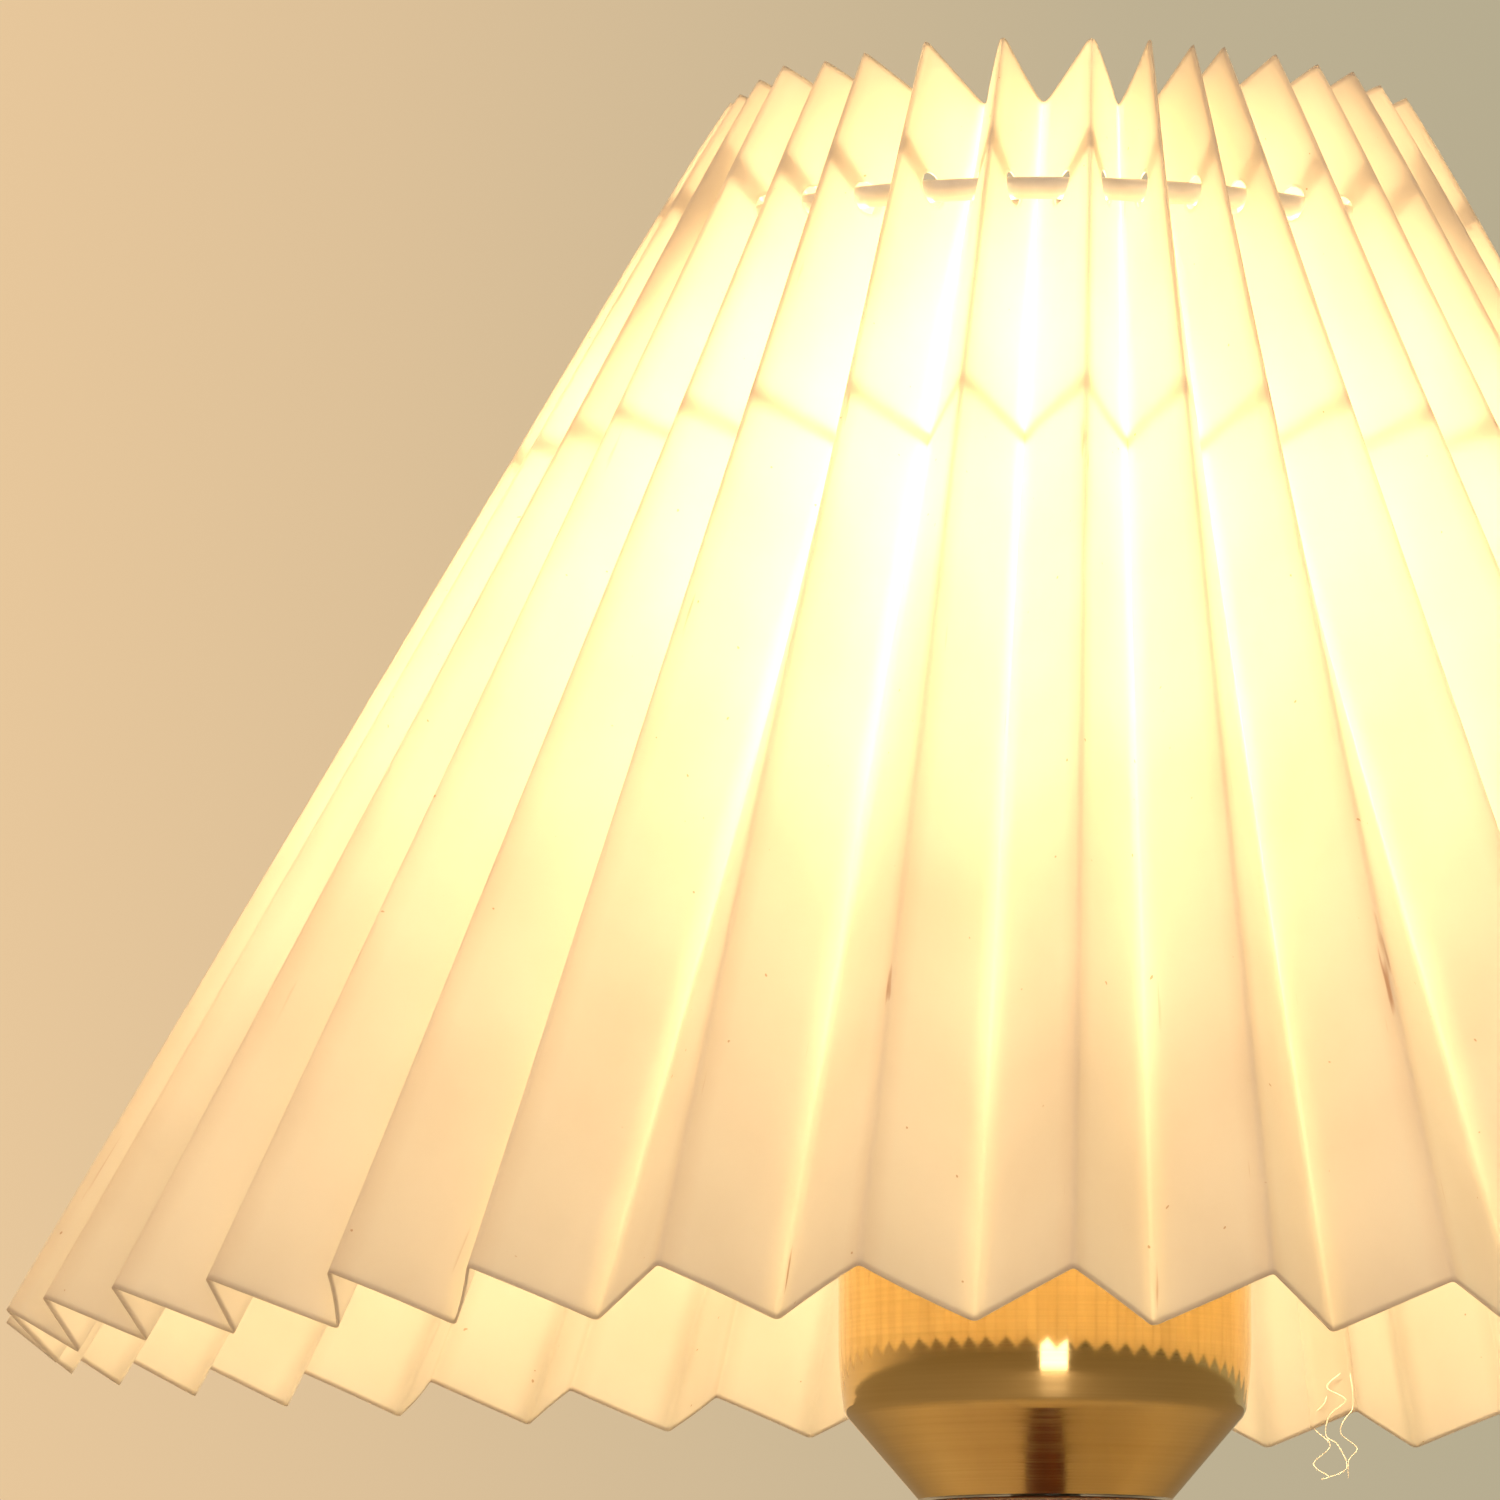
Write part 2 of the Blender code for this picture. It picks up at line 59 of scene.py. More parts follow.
# The shade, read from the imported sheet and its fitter, and what its folds add.
SHEET_LOW, SHEET_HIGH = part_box("pleated_shade")
FITTER_LOW, FITTER_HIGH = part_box("carrier_fitter_ring")
RIM_RADIUS = SHEET_HIGH.x / MM
RIDGE_TOP = SHEET_HIGH.z / MM
VALLEY_FOOT = SHEET_LOW.z / MM
PLEATS = 36
CROWN_RADIUS = 50.9
PANEL_WIDTH = 16.95
TOP_DROP = 7.8
FOOT_DROP = 6.5
THICKNESS = 0.32

# How the folds stray from even places, in degrees. Pleats are counted from the front, to the right, and each
# valley has the number of the ridge on its left. The top is twisted against the foot, and four pleats stand open.
FIRST_RIDGE = 0.9
TOP_TWIST = -6.5
FOOT_RIDGES = {-10: 0.4, -9: 0.9, -8: 1.4, -7: 1.7, -6: 1.8, -5: 1.1, -4: 0.2, -3: -0.8, -2: -0.4, -1: -0.2,
               0: 0.2, 2: -1.0}
FOOT_VALLEYS = {-7: 2.2, -6: 1.6, -5: 1.3, -4: 0.7, -3: 0.5, -2: 0.2, 0: -0.6, 1: -0.4, 2: -0.4}
TOP_RIDGES = {-1: 4.4, 0: 8.6, 1: 7.9, 2: 5.4, 3: 0.6, 6: -1.5, 7: -3.0}
TOP_VALLEYS = {-2: -1.3, -1: -2.2, 0: 2.6, 1: 1.2}
SEAM_PLEAT = 16

# The shade sits a little askew on its fitter.
LEAN = math.radians(1.3)
LEAN_SHIFT = 1.6

# Wire carrier.
TOP_RING_RADIUS = 54.5
TOP_RING_HEIGHT = 427.8
TOP_WIRE = 1.6
LOWER_RING_RADIUS = 66.2
LOWER_RING_HEIGHT = 389.0
LOWER_WIRE = 1.1
ARM_WIRE = 1.2

# Bulb.
BULB_CENTRE = 356.0
BULB_RADIUS = 30.0
CAP_PITCH = 3.629


# ---------------------------------------------------------------- node trees

def add_node(tree, kind, **settings):
    """Add a node; settings are its properties or, where it has none of that name, its input sockets."""
    made = tree.nodes.new(kind)
    for key, value in settings.items():
        if hasattr(made, key):
            setattr(made, key, value)
        else:
            made.inputs[key.replace("_", " ")].default_value = value
    return made


def surface(name, colour, roughness, metallic=0.0):
    """A Principled material, its node tree and its shader node."""
    made = bpy.data.materials.new(name)
    made.use_nodes = True
    shader = made.node_tree.nodes["Principled BSDF"]
    shader.inputs["Base Color"].default_value = (*colour, 1.0)
    shader.inputs["Roughness"].default_value = roughness
    shader.inputs["Metallic"].default_value = metallic
    return made, made.node_tree, shader


def object_noise(tree, stretch, scale, detail=4.0, roughness=0.55):
    """Noise in the piece's own coordinates, stretched by a factor for each axis."""
    place = add_node(tree, "ShaderNodeTexCoord")
    mapping = add_node(tree, "ShaderNodeMapping")
    mapping.inputs["Scale"].default_value = stretch
    noise = add_node(tree, "ShaderNodeTexNoise")
    noise.inputs["Scale"].default_value = scale
    noise.inputs["Detail"].default_value = detail
    noise.inputs["Roughness"].default_value = roughness
    tree.links.new(place.outputs["Object"], mapping.inputs["Vector"])
    tree.links.new(mapping.outputs["Vector"], noise.inputs["Vector"])
    return noise.outputs["Fac"]


def ramp(tree, value, stops):
    """Colour ramp over a value; stops are (place, colour) pairs."""
    made = add_node(tree, "ShaderNodeValToRGB")
    elements = made.color_ramp.elements
    while len(elements) < len(stops):
        elements.new(0.5)
    for element, (place, colour) in zip(elements, stops):
        element.position = place
        element.color = (*colour, 1.0)
    tree.links.new(value, made.inputs["Fac"])
    return made.outputs["Color"]


def spread(tree, value, low, high):
    """Map noise from its usual middle range to low and high."""
    made = add_node(tree, "ShaderNodeMapRange")
    made.inputs["From Min"].default_value = 0.3
    made.inputs["From Max"].default_value = 0.7
    made.inputs["To Min"].default_value = low
    made.inputs["To Max"].default_value = high
    tree.links.new(value, made.inputs["Value"])
    return made.outputs["Result"]


def bump(tree, shader, value, depth_mm, strength=1.0):
    """Raise the surface by a value over a depth."""
    made = add_node(tree, "ShaderNodeBump")
    made.inputs["Strength"].default_value = strength
    made.inputs["Distance"].default_value = depth_mm * MM
    tree.links.new(value, made.inputs["Height"])
    tree.links.new(made.outputs["Normal"], shader.inputs["Normal"])


def scaled(tree, value, factor):
    made = add_node(tree, "ShaderNodeMath", operation="MULTIPLY")
    made.inputs[1].default_value = factor
    tree.links.new(value, made.inputs[0])
    return made.outputs["Value"]


def added(tree, first, second):
    made = add_node(tree, "ShaderNodeMath", operation="ADD")
    tree.links.new(first, made.inputs[0])
    tree.links.new(second, made.inputs[1])
    return made.outputs["Value"]


def blended(tree, factor, first, second):
    """Mix two colours, each a socket or a plain colour, by a factor socket."""
    made = add_node(tree, "ShaderNodeMix", data_type="RGBA")
    tree.links.new(factor, made.inputs["Factor"])
    colours = [socket for socket in made.inputs if socket.type == "RGBA"]
    for socket, value in zip(colours, (first, second)):
        if isinstance(value, bpy.types.NodeSocket):
            tree.links.new(value, socket)
        else:
            socket.default_value = (*value, 1.0)
    return [socket for socket in made.outputs if socket.type == "RGBA"][0]


# ---------------------------------------------------------------- materials

def brushed_brass():
    """Polished brass with fine turned lines round the axis, and slow toning of the lacquer."""
    made, tree, shader = surface("brass", (0.80, 0.55, 0.20), 0.16, 1.0)
    lines = object_noise(tree, (16.0, 16.0, 2600.0), 1.0, 3.0, 0.7)
    coarse = object_noise(tree, (9.0, 9.0, 700.0), 1.0, 2.0)
    toning = object_noise(tree, (1.0, 1.0, 1.0), 22.0, 3.0)
    base = ramp(tree, toning, [(0.35, (0.78, 0.51, 0.17)), (0.65, (0.84, 0.60, 0.25))])
    fine = spread(tree, lines, 0.0, 0.22)
    colour = blended(tree, fine, base, (0.52, 0.33, 0.10))
    tree.links.new(colour, shader.inputs["Base Color"])
    tree.links.new(spread(tree, lines, 0.05, 0.12), shader.inputs["Roughness"])
    bump(tree, shader, added(tree, lines, coarse), 0.0025, 0.4)
    return made


def lacquered_wood():
    """Dark red brown hardwood under a gloss lacquer, grain along the stem."""
    made, tree, shader = surface("dark_wood", (0.10, 0.035, 0.015), 0.3)
    grain = object_noise(tree, (150.0, 150.0, 7.0), 1.0, 6.0, 0.65)
    pores = object_noise(tree, (900.0, 900.0, 26.0), 1.0, 2.0)
    cloud = object_noise(tree, (1.0, 1.0, 0.35), 26.0, 2.0)
    wood = ramp(tree, grain, [(0.30, (0.045, 0.012, 0.005)), (0.50, (0.11, 0.034, 0.014)),
                              (0.72, (0.19, 0.066, 0.026))])
    dark = spread(tree, pores, 0.0, 0.45)
    pored = blended(tree, dark, wood, (0.03, 0.009, 0.004))
    toned = blended(tree, spread(tree, cloud, 0.0, 0.3), pored, (0.16, 0.045, 0.02))
    tree.links.new(toned, shader.inputs["Base Color"])
    shader.inputs["Coat Weight"].default_value = 0.9
    shader.inputs["Coat Roughness"].default_value = 0.06
    tree.links.new(spread(tree, grain, 0.26, 0.40), shader.inputs["Roughness"])
    bump(tree, shader, grain, 0.03, 0.35)
    return made


def brown_lacquer():
    """Dark red brown gloss lacquer on metal, with a faint ripple and a little depth of colour."""
    made, tree, shader = surface("dark_lacquer", (0.11, 0.030, 0.012), 0.22)
    depth = object_noise(tree, (1.0, 1.0, 1.0), 38.0, 4.0)
    ripple = object_noise(tree, (1.0, 1.0, 1.0), 260.0, 2.0)
    tree.links.new(ramp(tree, depth, [(0.3, (0.075, 0.019, 0.008)), (0.7, (0.14, 0.040, 0.016))]),
                   shader.inputs["Base Color"])
    tree.links.new(spread(tree, ripple, 0.18, 0.28), shader.inputs["Roughness"])
    shader.inputs["Coat Weight"].default_value = 0.8
    shader.inputs["Coat Roughness"].default_value = 0.04
    bump(tree, shader, ripple, 0.015, 0.4)
    return made


def pressed_felt():
    made, tree, shader = surface("felt", (0.05, 0.075, 0.055), 0.95)
    fibres = object_noise(tree, (1.0, 1.0, 1.6), 1500.0, 5.0, 0.7)
    patches = object_noise(tree, (1.0, 1.0, 1.0), 90.0, 3.0)
    base = ramp(tree, patches, [(0.3, (0.035, 0.055, 0.040)), (0.7, (0.065, 0.095, 0.070))])
    tree.links.new(blended(tree, spread(tree, fibres, 0.0, 0.5), base, (0.11, 0.14, 0.11)),
                   shader.inputs["Base Color"])
    shader.inputs["Sheen Weight"].default_value = 0.4
    bump(tree, shader, fibres, 0.35)
    return made


def cast_iron():
    made, tree, shader = surface("cast_iron", (0.11, 0.11, 0.12), 0.75, 0.6)
    sand = object_noise(tree, (1.0, 1.0, 1.0), 700.0, 6.0, 0.7)
    tree.links.new(ramp(tree, sand, [(0.3, (0.07, 0.07, 0.075)), (0.7, (0.15, 0.145, 0.145))]),
                   shader.inputs["Base Color"])
    tree.links.new(spread(tree, sand, 0.62, 0.85), shader.inputs["Roughness"])
    bump(tree, shader, sand, 0.25)
    return made


def plated_metal(name, colour, roughness, stretch=(1.0, 1.0, 1.0), scale=260.0):
    """A plated or plain metal with a faint uneven polish."""
    made, tree, shader = surface(name, colour, roughness, 1.0)
    polish = object_noise(tree, stretch, scale, 5.0, 0.65)
    dark = tuple(channel * 0.82 for channel in colour)
    light = tuple(min(channel * 1.08, 1.0) for channel in colour)
    tree.links.new(ramp(tree, polish, [(0.3, dark), (0.7, light)]), shader.inputs["Base Color"])
    tree.links.new(spread(tree, polish, roughness * 0.75, roughness * 1.35), shader.inputs["Roughness"])
    bump(tree, shader, polish, 0.01, 0.5)
    return made


def moulded_phenolic():
    """Black moulded plastic with a fine orange peel."""
    made, tree, shader = surface("black_plastic", (0.022, 0.020, 0.018), 0.32)
    peel = object_noise(tree, (1.0, 1.0, 1.0), 420.0, 3.0)
    flow = object_noise(tree, (1.0, 1.0, 1.0), 60.0, 4.0)
    tree.links.new(ramp(tree, flow, [(0.3, (0.016, 0.014, 0.013)), (0.7, (0.034, 0.029, 0.026))]),
                   shader.inputs["Base Color"])
    tree.links.new(spread(tree, peel, 0.26, 0.40), shader.inputs["Roughness"])
    bump(tree, shader, peel, 0.02, 0.6)
    return made


def glazed_porcelain():
    made, tree, shader = surface("porcelain", (0.86, 0.84, 0.79), 0.22)
    glaze = object_noise(tree, (1.0, 1.0, 1.0), 130.0, 3.0)
    tree.links.new(ramp(tree, glaze, [(0.3, (0.82, 0.79, 0.73)), (0.7, (0.89, 0.87, 0.83))]),
                   shader.inputs["Base Color"])
    shader.inputs["Coat Weight"].default_value = 0.5
    bump(tree, shader, glaze, 0.03, 0.5)
    return made


def enamelled_wire():
    """White stoved enamel on steel wire, slightly yellowed and uneven."""
    made, tree, shader = surface("white_wire", (0.86, 0.84, 0.80), 0.42)
    age = object_noise(tree, (1.0, 1.0, 1.0), 150.0, 4.0)
    tree.links.new(ramp(tree, age, [(0.3, (0.80, 0.76, 0.70)), (0.7, (0.90, 0.88, 0.84))]),
                   shader.inputs["Base Color"])
    tree.links.new(spread(tree, age, 0.34, 0.52), shader.inputs["Roughness"])
    bump(tree, shader, age, 0.02, 0.5)
    return made


def frosted_bulb():
    """Glowing frosted glass, warmer towards the cap."""
    made, tree, shader = surface("bulb_glass", (0.96, 0.93, 0.86), 0.35)
    place = add_node(tree, "ShaderNodeTexCoord")
    axes = add_node(tree, "ShaderNodeSeparateXYZ")
    tree.links.new(place.outputs["Object"], axes.inputs["Vector"])
    height = add_node(tree, "ShaderNodeMapRange")
    height.inputs["From Min"].default_value = 0.305
    height.inputs["From Max"].default_value = 0.345
    tree.links.new(axes.outputs["Z"], height.inputs["Value"])
    glow = ramp(tree, height.outputs["Result"], [(0.0, (0.75, 0.42, 0.16)), (1.0, (1.0, 0.80, 0.48))])
    frost = object_noise(tree, (1.0, 1.0, 1.0), 900.0, 3.0)
    tree.links.new(spread(tree, frost, 0.28, 0.42), shader.inputs["Roughness"])
    tree.links.new(glow, shader.inputs["Emission Color"])
    shader.inputs["Emission Strength"].default_value = 4.0
    bump(tree, shader, frost, 0.02, 0.4)
    return made


def black_glass():
    made, tree, shader = surface("black_glass", (0.02, 0.02, 0.025), 0.12)
    swirl = object_noise(tree, (1.0, 1.0, 1.0), 200.0, 3.0)
    tree.links.new(ramp(tree, swirl, [(0.3, (0.012, 0.012, 0.016)), (0.7, (0.035, 0.035, 0.042))]),
                   shader.inputs["Base Color"])
    bump(tree, shader, swirl, 0.03, 0.4)
    return made


def translucent_sheet():
    """Satin white sheet that the bulb shines through, with painted shade along the ridges and a painted glow.

    The mesh carries two attributes: folds, whose red is 1 on a ridge, green 1 in a valley and blue 1 on a cut edge,
    and flat, the place on the unfolded strip in metres.
    """
    made, tree, shader = surface("shade_sheet", (0.93, 0.90, 0.83), 0.5)
    folds = add_node(tree, "ShaderNodeAttribute", attribute_name="folds")
    flat = add_node(tree, "ShaderNodeAttribute", attribute_name="flat")
    marks = add_node(tree, "ShaderNodeSeparateColor")
    tree.links.new(folds.outputs["Color"], marks.inputs["Color"])
    ridge, valley, edge = (marks.outputs[part] for part in ("Red", "Green", "Blue"))

    def strip_noise(stretch, detail):
        mapping = add_node(tree, "ShaderNodeMapping")
        mapping.inputs["Scale"].default_value = stretch
        noise = add_node(tree, "ShaderNodeTexNoise")
        noise.inputs["Scale"].default_value = 1.0
        noise.inputs["Detail"].default_value = detail
        tree.links.new(flat.outputs["Vector"], mapping.inputs["Vector"])
        tree.links.new(mapping.outputs["Vector"], noise.inputs["Vector"])
        return noise.outputs["Fac"]

    cloud = strip_noise((45.0, 30.0, 1.0), 4.0)
    calender = strip_noise((2600.0, 500.0, 1.0), 2.0)
    streaks = strip_noise((520.0, 34.0, 1.0), 3.0)
    specks = strip_noise((620.0, 620.0, 1.0), 1.0)

    paper = ramp(tree, cloud, [(0.3, (0.90, 0.86, 0.79)), (0.7, (0.96, 0.93, 0.87))])
    # Painted shade: the sheet is darkened along the ridges, where less of the bulb's light comes through.
    ridge_shaded = blended(tree, scaled(tree, ridge, 0.14), paper, (0.66, 0.47, 0.31))
    cut_edge = blended(tree, scaled(tree, edge, 0.22), ridge_shaded, (0.50, 0.33, 0.20))
    streak_spots = ramp(tree, streaks, [(0.69, (0, 0, 0)), (0.75, (1, 1, 1))])
    near_fold = added(tree, ridge, valley)
    stain = add_node(tree, "ShaderNodeMath", operation="MULTIPLY", use_clamp=True)
    tree.links.new(streak_spots, stain.inputs[0])
    tree.links.new(near_fold, stain.inputs[1])
    stained = blended(tree, scaled(tree, stain.outputs["Value"], 0.75), cut_edge, (0.42, 0.20, 0.08))
    speck_spots = ramp(tree, specks, [(0.785, (0, 0, 0)), (0.805, (1, 1, 1))])
    dotted = blended(tree, scaled(tree, speck_spots, 0.6), stained, (0.50, 0.28, 0.12))
    tree.links.new(dotted, shader.inputs["Base Color"])
    tree.links.new(spread(tree, cloud, 0.42, 0.58), shader.inputs["Roughness"])
    bump(tree, shader, calender, 0.02, 0.35)

    through = add_node(tree, "ShaderNodeBsdfTranslucent")
    tree.links.new(dotted, through.inputs["Color"])
    share = add_node(tree, "ShaderNodeMapRange")
    share.inputs["To Min"].default_value = SHINE_THROUGH
    share.inputs["To Max"].default_value = 0.85
    tree.links.new(valley, share.inputs["Value"])
    mix = add_node(tree, "ShaderNodeMixShader")
    tree.links.new(share.outputs["Result"], mix.inputs["Fac"])
    tree.links.new(shader.outputs["BSDF"], mix.inputs[1])
    tree.links.new(through.outputs["BSDF"], mix.inputs[2])
    tree.links.new(mix.outputs["Shader"], tree.nodes["Material Output"].inputs["Surface"])
    # Painted glow: emission on the sheet that stands in for the bulb's light shining through it.
    shader.inputs["Emission Color"].default_value = (1.0, 0.66, 0.36, 1.0)
    shader.inputs["Emission Strength"].default_value = PAINTED_SHEET_GLOW
    return made


def nylon_thread():
    made, tree, shader = surface("nylon_thread", (0.90, 0.84, 0.72), 0.35)
    twist = object_noise(tree, (1.0, 1.0, 1.0), 2500.0, 2.0)
    tree.links.new(ramp(tree, twist, [(0.3, (0.80, 0.70, 0.55)), (0.7, (0.95, 0.91, 0.82))]),
                   shader.inputs["Base Color"])
    # Painted glow: a faint warm emission that stands in for the bulb's light on the thread.
    shader.inputs["Emission Color"].default_value = (1.0, 0.70, 0.40, 1.0)
    shader.inputs["Emission Strength"].default_value = 0.15
    return made


# Share of light that a plain panel passes on, and the painted glow: emission on the sheet that stands in for the bulb's
# light shining through it.
SHINE_THROUGH = 0.54
PAINTED_SHEET_GLOW = 0.12

MATERIALS = {
    "felt": pressed_felt(),
    "cast_iron": cast_iron(),
    "brass": brushed_brass(),
    "zinc_steel": plated_metal("zinc_steel", (0.62, 0.62, 0.60), 0.34),
    "black_plastic": moulded_phenolic(),
    "dark_wood": lacquered_wood(),
    "dark_lacquer": brown_lacquer(),
    "porcelain": glazed_porcelain(),
    "brass_contact": plated_metal("brass_contact", (0.72, 0.50, 0.20), 0.30, (1.0, 1.0, 6.0)),
    "bronze_contact": plated_metal("bronze_contact", (0.62, 0.38, 0.20), 0.33, (1.0, 5.0, 1.0)),
    "white_wire": enamelled_wire(),
    "shade_sheet": translucent_sheet(),
    "bulb_glass": frosted_bulb(),
    "nickel": plated_metal("nickel", (0.70, 0.68, 0.63), 0.27, (1.0, 1.0, 8.0)),
    "black_glass": black_glass(),
    "solder": plated_metal("solder", (0.55, 0.55, 0.54), 0.48),
}


# ---------------------------------------------------------------- mesh helpers

def place_piece(name, data, slot, body, *nodes, material=None):
    """Link data drawn in the frame's coordinates as a piece that rides on a body and replaces CAD nodes."""
    piece = bpy.data.objects.new(name, data)
    data.materials.append(material or MATERIALS[slot])
    bpy.context.scene.collection.objects.link(piece)
    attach(piece, body)
    if nodes:
        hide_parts(*nodes)
    return piece


def softened(outline, size, steps=4):
    """Round the sharp corners of an outline over a size in mm."""
    count = len(outline)
    open_ended = outline[0][0] == 0.0
    points = []
    for index, place in enumerate(outline):
        corner = Vector(place)
        if open_ended and index in (0, count - 1):
            points.append(place)
            continue
        before = Vector(outline[index - 1]) - corner
        after = Vector(outline[(index + 1) % count]) - corner
        if before.angle(after) > math.radians(150.0):
            points.append(place)
            continue
        start = corner + before.normalized() * min(size, before.length * 0.45)
        end = corner + after.normalized() * min(size, after.length * 0.45)
        for step in range(steps + 1):
            share = step / steps
            points.append(tuple(start.lerp(corner, share).lerp(corner.lerp(end, share), share)))
    return points


def stretch_points(start, end, count):
    """Points along a straight stretch of an outline, without its end."""
    return [tuple(Vector(start).lerp(Vector(end), step / count)) for step in range(count)]


def arc(centre, radius, start, end, steps):
    """Points on an arc, angles in degrees from the radial direction."""
    points = []
    for step in range(steps + 1):
        angle = math.radians(start + (end - start) * step / steps)
        points.append((centre[0] + radius * math.cos(angle), centre[1] + radius * math.sin(angle)))
    return points


def smooth_mesh(shape, name, sharp=40.0):
    bmesh.ops.recalc_face_normals(shape, faces=shape.faces)
    mesh = bpy.data.meshes.new(name)
    shape.to_mesh(mesh)
    shape.free()
    mesh.shade_smooth()
    mesh.set_sharp_from_angle(angle=math.radians(sharp))
    return mesh


def turned(name, outline, segments=96, relief=None):
    """Turn an outline about the vertical axis. relief(radius, height, angle) adds millimetres to the radius."""
    shape = bmesh.new()
    rings = []
    for radius, height in outline:
        if radius == 0.0:
            rings.append([shape.verts.new((0.0, 0.0, height * MM))] * segments)
            continue
        ring = []
        for step in range(segments):
            angle = TURN * step / segments
            reach = radius + (relief(radius, height, angle) if relief else 0.0)
            ring.append(shape.verts.new((reach * math.cos(angle) * MM, reach * math.sin(angle) * MM, height * MM)))
        rings.append(ring)
    pairs = list(zip(rings, rings[1:]))
    if outline[0][0] > 0.0:
        pairs.append((rings[-1], rings[0]))
    for upper, lower in pairs:
        for step in range(segments):
            after = (step + 1) % segments
            corners = list(dict.fromkeys((upper[step], lower[step], lower[after], upper[after])))
            if len(corners) > 2:
                shape.faces.new(corners)
    return smooth_mesh(shape, name)


def wire_curve(name, points, radius, closed=False, resolution=4):
    """Round wire through points in millimetres."""
    curve = bpy.data.curves.new(name, "CURVE")
    curve.dimensions = "3D"
    curve.bevel_depth = radius * MM
    curve.bevel_resolution = resolution
    curve.use_fill_caps = True
    spline = curve.splines.new("POLY")
    spline.points.add(len(points) - 1)
    for place, point in zip(spline.points, points):
        place.co = (*(Vector(point) * MM), 1.0)
    spline.use_cyclic_u = closed
    return curve


def smooth_route(points, steps):
    """Points of a smooth curve through the given ones."""
    ends = [points[0]] + list(points) + [points[-1]]
    route = []
    for before, start, end, after in zip(ends, ends[1:], ends[2:], ends[3:]):
        for step in range(steps):
            t = step / steps
            route.append(tuple(
                0.5 * (2 * b + (c - a) * t + (2 * a - 5 * b + 4 * c - d) * t ** 2
                       + (3 * b - a - 3 * c + d) * t ** 3)
                for a, b, c, d in zip(before, start, end, after)))
    return route + [tuple(points[-1])]


def polar(radius, azimuth, height):
    """Point at an azimuth from the front, in degrees."""
    angle = math.radians(azimuth)
    return Vector((radius * math.sin(angle), -radius * math.cos(angle), height))


# ---------------------------------------------------------------- shade

def lean():
    """Transform that sets the whole shade askew about its fitter."""
    pivot = Vector((0.0, 0.0, FITTER_LOW.z))
    shift = Matrix.Translation(Vector((LEAN_SHIFT * MM, 0.0, 0.0)) + pivot)
    return shift @ Matrix.Rotation(LEAN, 4, "Y") @ Matrix.Translation(-pivot)


def valley_radius(ridge_radius, half_pitch, drop):
    """Radius of the valley between two ridges where both panels keep the panel width."""
    across = PANEL_WIDTH ** 2 - drop ** 2 - (ridge_radius * math.sin(half_pitch)) ** 2
    return ridge_radius * math.cos(half_pitch) - math.sqrt(across)


def fold_ends():
    """Top and foot of each fold, ridges and valleys in turn, from the seam round to the seam."""
    stray = random.Random(11)
    pleats = [(SEAM_PLEAT + count + PLEATS // 2) % PLEATS - PLEATS // 2 for count in range(PLEATS)]
    ridges = []
    for count, pleat in enumerate(pleats):
        even = FIRST_RIDGE + (SEAM_PLEAT + count) * 360.0 / PLEATS
        foot = even + FOOT_RIDGES.get(pleat, stray.uniform(-0.3, 0.3))
        head = even + TOP_TWIST + TOP_RIDGES.get(pleat, stray.uniform(-0.9, 0.9))
        ridges.append((head, foot))
    ridges.append((ridges[0][0] + 360.0, ridges[0][1] + 360.0))

    ends = []
    ridge_foot = VALLEY_FOOT + FOOT_DROP
    for pleat, (head, foot), (next_head, next_foot) in zip(pleats, ridges, ridges[1:]):
        crown = CROWN_RADIUS + stray.uniform(-0.4, 0.4)
        ends.append((polar(crown, head, RIDGE_TOP + stray.uniform(-0.8, 0.0)),
                     polar(RIM_RADIUS + stray.uniform(-0.5, 0.1), foot, ridge_foot)))
        top = valley_radius(CROWN_RADIUS, math.radians(next_head - head) / 2, TOP_DROP)
        bottom = valley_radius(RIM_RADIUS, math.radians(next_foot - foot) / 2, FOOT_DROP)
        valley_head = (head + next_head) / 2 + TOP_VALLEYS.get(pleat, stray.uniform(-0.6, 0.6))
        valley_foot = (foot + next_foot) / 2 + FOOT_VALLEYS.get(pleat, stray.uniform(-0.3, 0.3))
        ends.append((polar(top, valley_head, RIDGE_TOP - TOP_DROP), polar(bottom, valley_foot, VALLEY_FOOT)))
    ends.append(ends[0])
    return ends


